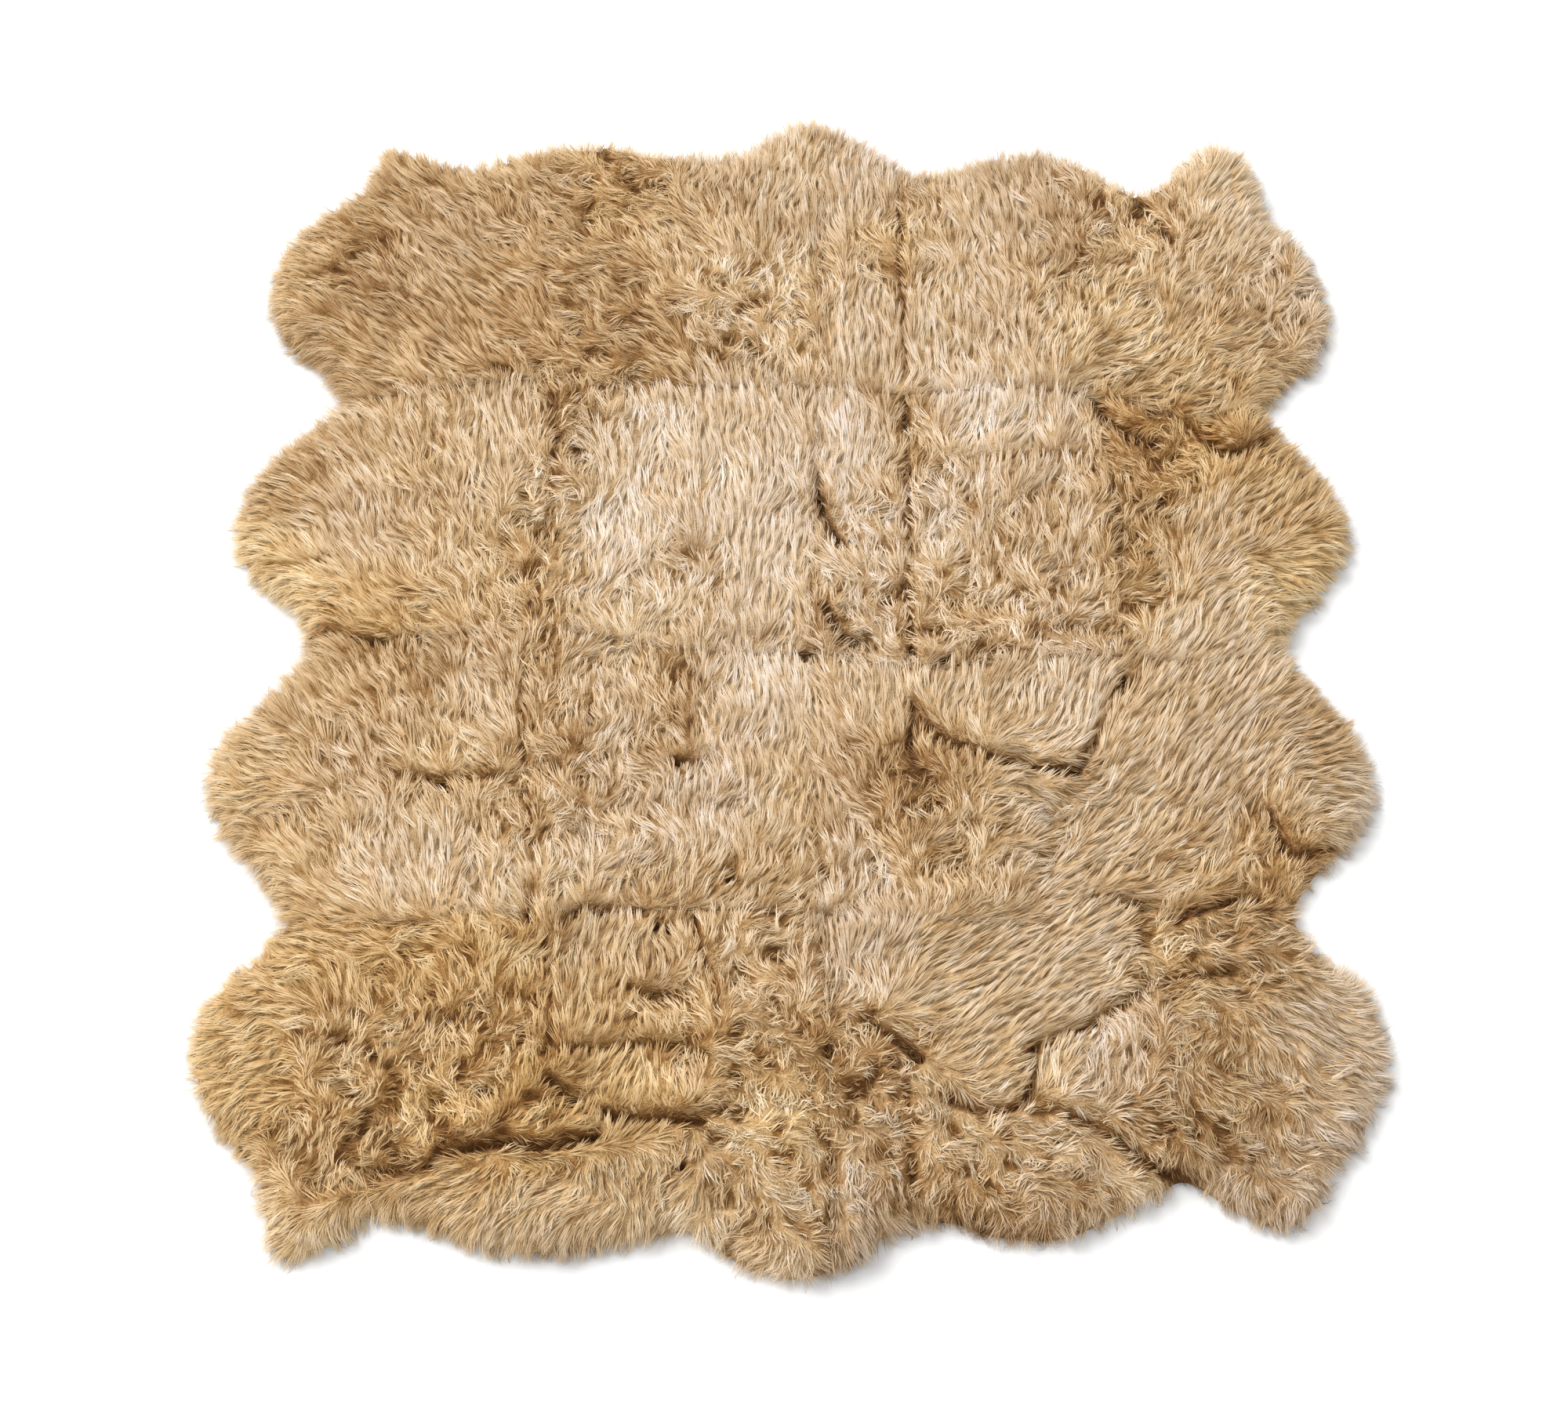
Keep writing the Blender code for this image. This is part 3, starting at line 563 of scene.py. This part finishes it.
class Wire:   # a node's output; sums on it add the nodes for them
    def __init__(self, tree, out=None):
        self.tree = tree
        self.out = out

    def node(self, kind, settings=None, values=None, take=0):
        made = self.tree.nodes.new(kind)
        for name, value in (settings or {}).items():
            if name == "stops":
                while len(made.color_ramp.elements) < len(value):
                    made.color_ramp.elements.new(0.5)
                for stop, (place, colour) in zip(made.color_ramp.elements, value):
                    stop.position = place
                    stop.color = (*colour, 1.0)
            else:
                setattr(made, name, value)
        for name, value in (values or {}).items():
            socket = self.pick(made.inputs, name)
            for item in value if isinstance(value, list) else [value]:
                if isinstance(item, Wire):
                    item.into(socket)
                else:
                    socket.default_value = item
        return Wire(self.tree, self.pick(made.outputs, take))

    def pick(self, sockets, name):
        if isinstance(name, int):
            return sockets[name]
        return next(socket for socket in sockets if socket.name == name and socket.enabled)

    def into(self, socket):
        self.tree.links.new(self.out, socket)

    def other(self, name):   # another output of the same node
        return Wire(self.tree, self.pick(self.out.node.outputs, name))

    def maths(self, operation, *items, take=0):
        isVector = any(isinstance(item, Wire) and item.out.type == "VECTOR" for item in items)
        if isVector:
            items = [(item,) * 3 if isinstance(item, (int, float)) else item for item in items]
        kind = "ShaderNodeVectorMath" if isVector else "ShaderNodeMath"
        return self.node(kind, {"operation": operation}, dict(enumerate(items)), take)

    def __add__(self, other):
        return self.maths("ADD", self, other)

    def __sub__(self, other):
        return self.maths("SUBTRACT", self, other)

    def __mul__(self, other):
        return self.maths("MULTIPLY", self, other)

    def __truediv__(self, other):
        return self.maths("DIVIDE", self, other)

    def __pow__(self, other):
        return self.maths("POWER", self, other)

    def __radd__(self, other):
        return self.maths("ADD", other, self)

    def __rsub__(self, other):
        return self.maths("SUBTRACT", other, self)

    def __rmul__(self, other):
        return self.maths("MULTIPLY", other, self)

    def part(self, axis):
        return self.node("ShaderNodeSeparateXYZ", {}, {0: self}, axis)

    def named(self, name):
        return self.node("GeometryNodeInputNamedAttribute", vectors, {"Name": name}, "Attribute")

    def store(self, name, value):
        return self.node("GeometryNodeStoreNamedAttribute", {**vectors, "domain": "POINT"},
                         {"Geometry": self, "Name": name, "Value": value})


def mottle(wire, place, scale, detail):
    return wire.node("ShaderNodeTexNoise", {}, {"Vector": place, "Scale": scale, "Detail": detail})


# wool locks

wool = {
    "Locks apart": 0.0130,   # least distance between the middles of two locks
    "Fine hairs per square metre": 41000.0,
    "Wavy hairs per square metre": 6500.0,
    "Hair length": 0.041,
    "Hair width": 0.0012,   # half width of a strand of fine hairs at its widest
    "Clump": 0.034,   # size of the clumps that stand higher or lower
    "Highest": 0.0725,   # no hair stands over this
    "Softness": 0.88,   # how far the wool is lit as one soft surface
    "Seed": 5,
}
seedStep = 101   # from one pelt's seed to the next
fineSalt, wavySalt, diceSalt = 11, 23, 7   # keep the random draws of one pelt apart

# a pair is the value where what it follows is 0, and what is added where that is 1
hairShape = {
    "densest": 40000.0,   # locks per square metre before the near ones are dropped
    "rimHairs": (1.0, 0.7),   # more hairs near the free edge
    "fineHairs": (1.25, -0.85),   # fewer fine hairs and more wavy ones where the wool is curly
    "wavyHairs": (0.55, 0.9),
    "lockTurn": (0.5, 2.2),   # how far locks and hairs turn off the way of the wool, by curl
    "hairTurn": (0.24, 0.3),
    "ahead": 0.6,   # a crease this share of a hair's length ahead shortens it
    "lockReach": (0.70, 0.5),   # length by lock, hair, curl, crease and rim
    "hairReach": (0.72, 0.5),
    "curlReach": (1.0, -0.3),
    "creaseReach": (1.0, -0.75),
    "rimReach": (1.0, -0.05),
    "hairThick": (0.6, 0.8),
    "rimThick": (1.0, -0.55),
    "lockPull": (0.78, -0.38),   # how far hairs draw together into their lock, by rim
    "gather": (0.4, 0.6),   # and along their length
    "rootPacking": 1.3,
    "lift": (0.06, 0.20),   # how steeply a hair rises, by lock
    "clumpLift": 0.28,
    "curlLift": 0.40,
    "waves": (4.4, 3.0),   # the wave along a hair, by curl
    "lockPhase": 6.28,
    "hairPhase": 1.2,
    "waveWidth": (0.055, 0.13),
    "hook": (0.25, 0.9),   # and its bend to one side
    "mound": 0.012,   # how much higher the middle of a lock stands
    "rootSink": 0.002,
    "forward": (0.45, 0.42),   # along the hair: how it lies forward, droops and tapers
    "droop": (1.15, -0.80),
    "taper": (1.25, -0.55),
    "flatness": 0.2,
    "lowest": 0.0006,
    "rimCalm": (1.0, -0.6),   # straight wool and the rim look more even
    "curlCalm": (0.84, 0.30),
    "lockBright": 0.62,   # brightness by lock at random, less at its border as painted shade between locks
    "borderShade": 0.38,
    "allDark": 0.12,
    "lean": 0.2,   # the soft normals lean the way of the wool
    "rise": (0.2, 0.8),   # and up, by rim
}


def woolTree():
    tree = bpy.data.node_groups.new("wool locks", "GeometryNodeTree")

    def addSocket(name, kind, way="INPUT"):
        made = tree.interface.new_socket(name=name, in_out=way, socket_type="NodeSocket" + kind)
        return made.identifier

    addSocket("Fleece", "Geometry")
    keys = {name: addSocket(name, "Int" if isinstance(value, int) else "Float")
            for name, value in wool.items()}
    keys["Finish"] = addSocket("Finish", "Material")
    addSocket("Locks", "Geometry", "OUTPUT")
    wire = Wire(tree)
    entry = tree.nodes.new("NodeGroupInput")

    def given(name):
        return Wire(tree, entry.outputs[name])

    def triple(x, y, z):
        return wire.node("ShaderNodeCombineXYZ", {}, {0: x, 1: y, 2: z})

    def dice(salt):
        return wire.node("FunctionNodeRandomValue", vectors,
                         {"Min": (0.0, 0.0, 0.0), "Max": (1.0, 1.0, 1.0), "Seed": seed + salt}, "Value")

    def dot(first, second):
        return wire.maths("DOT_PRODUCT", first, second, take="Value")

    def unitOf(vector):
        return vector.maths("NORMALIZE", vector)

    def by(name, share):
        start, gain = hairShape[name]
        return start + share * gain

    parts = [f"part {name}" for name in ("shape", "root", "up", "flow", "pull", "lock", "hair",
                                         "size", "curl")]
    seed = given("Seed")
    place = wire.node("GeometryNodeInputPosition")
    fleeceLook = wire.named("wool")
    tone = wire.named("tone")
    curl, rim, cover = (fleeceLook.part(axis) for axis in range(3))
    locks = wire.node("GeometryNodeDistributePointsOnFaces", {"distribute_method": "POISSON"},
                      {"Mesh": given("Fleece"), "Distance Min": given("Locks apart"), "Seed": seed,
                       "Density Max": hairShape["densest"], "Density Factor": cover})
    clump = mottle(wire, place / given("Clump"), 1.0, 1.0).other("Color")

    def hairs(number, strand, salt):   # hairs with roots at random, each drawn to its lock
        points = wire.node("GeometryNodeDistributePointsOnFaces", {"distribute_method": "RANDOM"},
                           {"Mesh": given("Fleece"), "Density": number * cover * by("rimHairs", rim),
                            "Seed": seed + salt})
        up = points.other("Normal")
        nearest = wire.node("GeometryNodeSampleNearest", {"domain": "POINT"},
                            {"Geometry": locks, "Sample Position": place})

        def fromLock(value):
            return wire.node("GeometryNodeSampleIndex", vectors,
                             {"Geometry": locks, "Value": value, "Index": nearest}, "Value")

        lockPlace, lockDice, hairDice = fromLock(place), fromLock(dice(0)), dice(salt + diceSalt)
        off = wire.maths("MINIMUM", wire.maths("LENGTH", lockPlace - place, take="Value")
                         / given("Locks apart"), 1.0)
        turn = ((lockDice.part("X") - 0.5) * by("lockTurn", curl)
                + (hairDice.part("X") - 0.5) * by("hairTurn", curl))
        flow = wire.node("ShaderNodeVectorRotate", {"rotation_type": "Z_AXIS"},
                         {"Vector": wire.named("comb"), "Angle": turn})
        flow = unitOf(flow - up * dot(flow, up))
        further = place + flow * (given("Hair length") * hairShape["ahead"])
        ahead = wire.node("GeometryNodeSampleNearestSurface", vectors,
                          {"Mesh": given("Fleece"), "Value": tone, "Sample Position": further}, "Value")
        stop = wire.maths("MAXIMUM", tone.part("Z"), ahead.part("Z"))
        reach = (given("Hair length") * by("lockReach", lockDice.part("Y"))
                 * by("hairReach", hairDice.part("Y")) * by("curlReach", curl)
                 * by("creaseReach", stop) * by("rimReach", rim))
        thick = given("Hair width") * by("hairThick", hairDice.part("Z")) * by("rimThick", rim)
        pull = (lockPlace - place) * by("lockPull", rim)
        for name, value in zip(parts[1:], (place, up, flow, pull, lockDice, hairDice,
                                           triple(reach, thick, rim),
                                           triple(curl, off, clump.part("Y")))):
            points = points.store(name, value)
        strand = strand.store(parts[0], place)
        made = wire.node("GeometryNodeInstanceOnPoints", {}, {"Points": points, "Instance": strand})
        return wire.node("GeometryNodeRealizeInstances", {}, {"Geometry": made})

    spike = wire.node("GeometryNodeMeshCone", {"fill_type": "NGON"},
                      {"Vertices": 3, "Radius Top": 0.0, "Radius Bottom": 1.0, "Depth": 2.0})
    spike = wire.node("GeometryNodeSetPosition", {}, {"Geometry": spike, "Offset": (0.0, 0.0, -1.0)})
    bent = wire.node("GeometryNodeMeshUVSphere", {}, {"Segments": 3, "Rings": 3, "Radius": 1.0})
    fine = hairs(given("Fine hairs per square metre") * by("fineHairs", curl), spike, fineSalt)
    wavy = hairs(given("Wavy hairs per square metre") * by("wavyHairs", curl), bent, wavySalt)
    grown = wire.node("GeometryNodeJoinGeometry", {}, {"Geometry": [fine, wavy]})

    # every point of a hair is worked out from its root, its lock and how far along it lies
    shape, root, up, flow, pull, lock, hair, size, curls = (wire.named(name) for name in parts)
    along = (shape.part("Z") * 0.5 + 0.5) ** hairShape["rootPacking"]
    reach, bend, off = size.part("X"), curls.part("X"), curls.part("Y")
    side = unitOf(wire.maths("CROSS_PRODUCT", flow, up))
    lift = (by("lift", lock.part("Z")) + hairShape["clumpLift"] * curls.part("Z")
            + hairShape["curlLift"] * bend)
    swing = wire.maths("SINE", along * by("waves", bend) + lock.part("Y") * hairShape["lockPhase"]
                       + hair.part("Z") * hairShape["hairPhase"])
    hook = (lock.part("X") - 0.5) * by("hook", bend) * along
    mound = (1.0 - off * off) * (along * hairShape["mound"]) - hairShape["rootSink"]
    spine = (root + up * mound
             + flow * (reach * along * by("forward", along))
             + up * (reach * lift * along * by("droop", along))
             + pull * by("gather", along)
             + side * ((swing * by("waveWidth", bend) + hook) * along * reach))
    taper = by("taper", along)
    spot = (spine + side * (shape.part("Y") * size.part("Y") * taper)
            + up * (shape.part("X") * size.part("Y") * taper * hairShape["flatness"]))
    level = wire.maths("MAXIMUM", spot.part("Z"), hairShape["lowest"])
    spot = triple(spot.part("X"), spot.part("Y"), wire.maths("MINIMUM", level, given("Highest")))
    shaped = wire.node("GeometryNodeSetPosition", {}, {"Geometry": grown, "Position": spot})
    calm = by("rimCalm", size.part("Z")) * by("curlCalm", bend)
    # each lock's own random tone, with painted shade towards its border where it meets the next
    toneAndShade = 0.5 + (hairShape["lockBright"] * lock.part("X") - hairShape["borderShade"] * off
                    - hairShape["allDark"]) * calm
    shaped = shaped.store("strand", triple(along, toneAndShade, 0.5 + (hair.part("X") - 0.5) * calm))
    shaped = shaped.store("streak", triple(shape.part("Y"), along, hair.part("Y")))
    smooth = wire.node("GeometryNodeSetShadeSmooth", {}, {0: shaped, "Shade Smooth": True})
    # lit softly: each hair's own normals lean to those of the fleece under it
    own = wire.node("GeometryNodeInputNormal")
    even = up + flow * hairShape["lean"] + triple(0.0, 0.0, by("rise", size.part("Z")))
    soft = wire.node("ShaderNodeMix", {"data_type": "VECTOR"},
                     {"Factor": given("Softness"), "A": own, "B": even}, "Result")
    shaped = wire.node("GeometryNodeSetMeshNormal", {"mode": "FREE", "domain": "POINT"},
                       {"Mesh": smooth, "Custom Normal": unitOf(soft)})
    for pattern in ("part *", "comb", "wool"):
        shaped = wire.node("GeometryNodeRemoveAttribute", {"pattern_mode": "WILDCARD"},
                           {"Geometry": shaped, "Name": pattern})
    done = wire.node("GeometryNodeSetMaterial", {}, {"Geometry": shaped, "Material": given("Finish")})
    done.into(tree.nodes.new("NodeGroupOutput").inputs["Locks"])
    return tree, keys


def growWool(body, name, tree, keys, material, seed):
    modifier = body.modifiers.new("wool locks", "NODES")
    modifier.node_group = tree
    for key, value in {**wool, "Seed": wool["Seed"] + seed}.items():
        modifier[keys[key]] = value
    modifier[keys["Finish"]] = material
    ready = body.evaluated_get(bpy.context.evaluated_depsgraph_get())
    mesh = bpy.data.meshes.new_from_object(ready)
    body.modifiers.remove(modifier)
    mesh.name = name
    return place(name, mesh)


# finishes

finish = {
    "wool": ((0.12, 0.048, 0.011), (0.295, 0.150, 0.048), (0.555, 0.370, 0.185),
             (0.76, 0.580, 0.372), (0.89, 0.780, 0.640)),   # from the deepest gaps to the palest tips; the dark end is painted shade of gaps and creases together with the darker roots
    "golden": (1.04, 0.96, 0.77),   # tints of the warm and the grey patches
    "grey": (0.98, 1.0, 1.13),
    "warmth": (0.44, 0.5, 0.6),   # usual share of golden, and what patch and cloud change
    "patchPale": 0.16,   # one step of the patches' pale column
    # strength of the painted shade in creases, seams and hollows
    "creaseShade": 0.64,
    "cloud": (9.0, 3.0, 0.35),   # scale, detail and strength of the broad and the small mottling
    "clump": (32.0, 2.0, 0.40),
    "lockDepth": 0.625,   # usual tone of the locks
    "alongLock": (0.6, 0.75, 0.42),   # what changes it: power, middle and strength along a lock, darker to the root for the darker roots and for painted shade deep in the wool
    "byLock": (0.46, 0.42),   # middle and strength of each lock's tone and the painted shade at its border
    "byHair": (0.5, 0.15),
    "byStreak": (0.5, 0.36),
    "streaks": ((2.4, 1.1, 60.0), (0.0, 0.0, 90.0), 0.5, 2.0),   # stretch, offset, scale and detail
    "fleeceDepth": (0.46, 0.12, 0.5),   # usual tone, darker by curl, by fleck
    "flecks": ((430.0, 0.0022, 2.0), (150.0, 0.0055, 2.6)),   # scale, step along the wool, strength
    "combed": range(-3, 4),   # the steps that one fleck is drawn out over
    "fleeceBump": (0.8, 0.006),   # strength and distance
    "suede": ((0.62, 0.50, 0.36), (0.50, 0.38, 0.26), (0.36, 0.26, 0.17)),   # ground, clouds, grain
    "suedeCloud": (14.0, 3.0),
    "suedeGrain": (420.0, 5.0, 0.25),
    "suedeBump": (0.5, 0.0006),
    "surface": {"wool locks": (0.7, 0.1), "fleece": (0.95, 0.1), "suede hide": (0.95, 0.3),
                "floor": (0.8, 0.0)},   # roughness and sheen
    "sheenRoughness": 0.6,
    "sheenTint": (1.0, 0.86, 0.66),
    "specular": 0.13,
}


def startMaterial(name):
    material = bpy.data.materials.new(name)
    material.use_nodes = True
    shader = material.node_tree.nodes["Principled BSDF"]
    roughness, sheen = finish["surface"][name]
    for socket, value in (("Roughness", roughness), ("Sheen Weight", sheen),
                          ("Sheen Roughness", finish["sheenRoughness"]),
                          ("Sheen Tint", (*finish["sheenTint"], 1.0)),
                          ("Specular IOR Level", finish["specular"])):
        shader.inputs[socket].default_value = value
    return material, Wire(material.node_tree), shader


def stored(wire, name):
    return wire.node("ShaderNodeAttribute", {"attribute_name": name}, {}, "Vector")


def objectPlace(wire):
    return wire.node("ShaderNodeTexCoord", {}, {}, "Object")


def roughen(wire, shader, bump, height):
    strength, distance = bump
    wire.node("ShaderNodeBump", {}, {"Strength": strength, "Distance": distance, "Height": height},
              "Normal").into(shader.inputs["Normal"])


def around(value, middle, gain):
    return (value - middle) * gain


def mixColour(wire, share, first, second, blend="MIX"):
    def colour(value):
        return (*value, 1.0) if isinstance(value, tuple) else value
    return wire.node("ShaderNodeMix", {"data_type": "RGBA", "blend_type": blend},
                     {"Factor": share, "A": colour(first), "B": colour(second)}, "Result")


def woolColour(wire, depth):   # depth 0 is the deepest brown, 1 the palest cream
    tone = stored(wire, "tone")
    place = objectPlace(wire)
    *cloud, cloudGain = finish["cloud"]
    *clump, clumpGain = finish["clump"]
    cloud = mottle(wire, place, *cloud)
    # painted shade in creases, seams and hollows darkens the wool
    depth = (depth + tone.part("X") * finish["patchPale"] + around(cloud, 0.5, cloudGain)
             + around(mottle(wire, place, *clump), 0.5, clumpGain)
             - tone.part("Z") * finish["creaseShade"])
    stops = [(number / (len(finish["wool"]) - 1), colour)
             for number, colour in enumerate(finish["wool"])]
    colour = wire.node("ShaderNodeValToRGB", {"stops": stops}, {"Fac": depth})
    usual, byPatch, byCloud = finish["warmth"]
    warm = tone.part("Y") * byPatch + usual + around(cloud, 0.5, byCloud)
    tint = mixColour(wire, warm, finish["grey"], finish["golden"])
    return mixColour(wire, 1.0, colour, tint, "MULTIPLY")


def lockMaterial():
    material, wire, shader = startMaterial("wool locks")
    strand = stored(wire, "strand")
    # fine hairs painted along each strand
    stretch, offset, scale, detail = finish["streaks"]
    streak = mottle(wire, stored(wire, "streak") * stretch + strand * offset, scale, detail)
    power, middle, gain = finish["alongLock"]
    depth = (finish["lockDepth"] + around(strand.part("X") ** power, middle, gain)
             + around(strand.part("Y"), *finish["byLock"]) + around(strand.part("Z"), *finish["byHair"])
             + around(streak, *finish["byStreak"]))
    woolColour(wire, depth).into(shader.inputs["Base Color"])
    return material


def fleeceMaterial():
    material, wire, shader = startMaterial("fleece")
    place = objectPlace(wire)
    comb = stored(wire, "comb")

    def combed(scale, step, gain):   # noise drawn out along the way of the wool
        steps = [mottle(wire, place + comb * (step * number), scale, 1.0)
                 for number in finish["combed"]]
        return around(sum(steps[1:], steps[0]) / len(steps), 0.5, gain)

    fine, coarse = finish["flecks"]
    fleck = combed(*fine) + combed(*coarse)
    usual, byCurl, byFleck = finish["fleeceDepth"]
    depth = usual - stored(wire, "wool").part("X") * byCurl + fleck * byFleck
    woolColour(wire, depth).into(shader.inputs["Base Color"])
    roughen(wire, shader, finish["fleeceBump"], fleck)
    return material


def hideMaterial():
    material, wire, shader = startMaterial("suede hide")
    place = objectPlace(wire)
    *grain, grainShare = finish["suedeGrain"]
    grain = mottle(wire, place, *grain)
    ground, cloudy, grainy = finish["suede"]
    base = mixColour(wire, mottle(wire, place, *finish["suedeCloud"]), ground, cloudy)
    mixColour(wire, grain * grainShare, base, grainy).into(shader.inputs["Base Color"])
    roughen(wire, shader, finish["suedeBump"], grain)
    return material


# hides: the suede side of each pelt

hide = {
    "inset": 0.016,
    "pitch": 0.016,
    "coarse": 2.5,   # inner points are this much wider apart
    "gap": 0.0006,
    "bottom": 0.0004,
    "thickness": 0.0024,
}

hidePlan = layOut(hide["inset"], hide["pitch"])


def makeHide(side, row, material):
    loop, _ = peltLoop(hidePlan, side, row, hide["gap"])
    inner = lattice(loop, hide["pitch"] * hide["coarse"])
    points = np.vstack((loop, inner)) + rug["middle"]
    corners = raised(points, hide["bottom"] + hide["thickness"]) + raised(points, hide["bottom"])
    flat = triangulate(loop, inner)
    faces = slabFaces(flat, flat, len(points), len(loop))
    made = makeObject(f"hide_{side}_{row + 1}", corners, faces, material)
    ax, ay = loop.T
    bx, by = np.roll(loop, -1, axis=0).T
    area = abs((ax * by - bx * ay).sum()) / 2
    size = loop.max(0) - loop.min(0)
    return made, (float(size[0]), float(size[1])), float(area)


lockFinish = lockMaterial()
fleeceFinish = fleeceMaterial()
hideFinish = hideMaterial()
tree, keys = woolTree()
for number, (side, row) in enumerate(pelts):
    node = f"pelt_{side}_{row + 1}"
    body = makeFleece(side, row, fleeceFinish)
    locks = growWool(body, f"locks_{side}_{row + 1}", tree, keys, lockFinish, number * seedStep)
    skin, flat, area = makeHide(side, row, hideFinish)
    for piece in (body, locks, skin):
        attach(piece, "root")
        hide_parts(node)
    triangles = sum(len(face.vertices) - 2 for face in locks.data.polygons)
    print(node, "body", len(body.data.polygons), "locks", triangles, "area", round(area, 3))
print("pelts made")

# floor, light and camera

studio = {
    "floorSize": 60.0,
    "floorLevel": -0.0004,
    "floorColour": (0.86, 0.86, 0.855),
    "worldLight": 0.80,
    "keyTurn": 38.0,   # degrees the key stands round to the back from the left
    "keyHeight": 46.0,   # degrees over the floor
    "keyAway": 4.0,
    "keySpread": 30.0,
    "keyStrength": 2.8,
    "cameraTilt": 66.0,   # degrees over the floor
    "cameraAway": 4.0534,
    "lens": 58.5,
    "sensor": 36.0,
    "aim": (-0.0137, -0.0985, 0.0),
}

scene = bpy.context.scene
half, level = studio["floorSize"] / 2, studio["floorLevel"]
floorMaterial, _, floorShader = startMaterial("floor")
floorShader.inputs["Base Color"].default_value = (*studio["floorColour"], 1.0)
corners = [(-half, -half, level), (half, -half, level), (half, half, level), (-half, half, level)]
floor = makeObject("floor", corners, [(0, 1, 2, 3)], floorMaterial)
world = bpy.data.worlds.new("studio")
world.use_nodes = True
background = world.node_tree.nodes["Background"]
background.inputs["Color"].default_value = (1.0, 1.0, 1.0, 1.0)
background.inputs["Strength"].default_value = studio["worldLight"]
scene.world = world
key = place("key", bpy.data.lights.new("key", "SUN"))
key.data.energy = studio["keyStrength"]
key.data.angle = math.radians(studio["keySpread"])
turn, height = math.radians(studio["keyTurn"]), math.radians(studio["keyHeight"])
key.location = studio["keyAway"] * Vector((-math.cos(turn) * math.cos(height),
                                           math.sin(turn) * math.cos(height), math.sin(height)))
key.rotation_euler = key.location.to_track_quat("Z", "Y").to_euler()
scene.view_settings.view_transform = "Standard"

tilt = math.radians(studio["cameraTilt"])
camera = place("camera", bpy.data.cameras.new("camera"))
camera.data.lens = studio["lens"]
camera.data.sensor_width = studio["sensor"]
away = Vector((0.0, -math.cos(tilt), math.sin(tilt)))
camera.location = Vector(studio["aim"]) + studio["cameraAway"] * away
camera.rotation_euler = (math.pi / 2 - tilt, 0.0, 0.0)
scene.camera = camera
print("studio set")
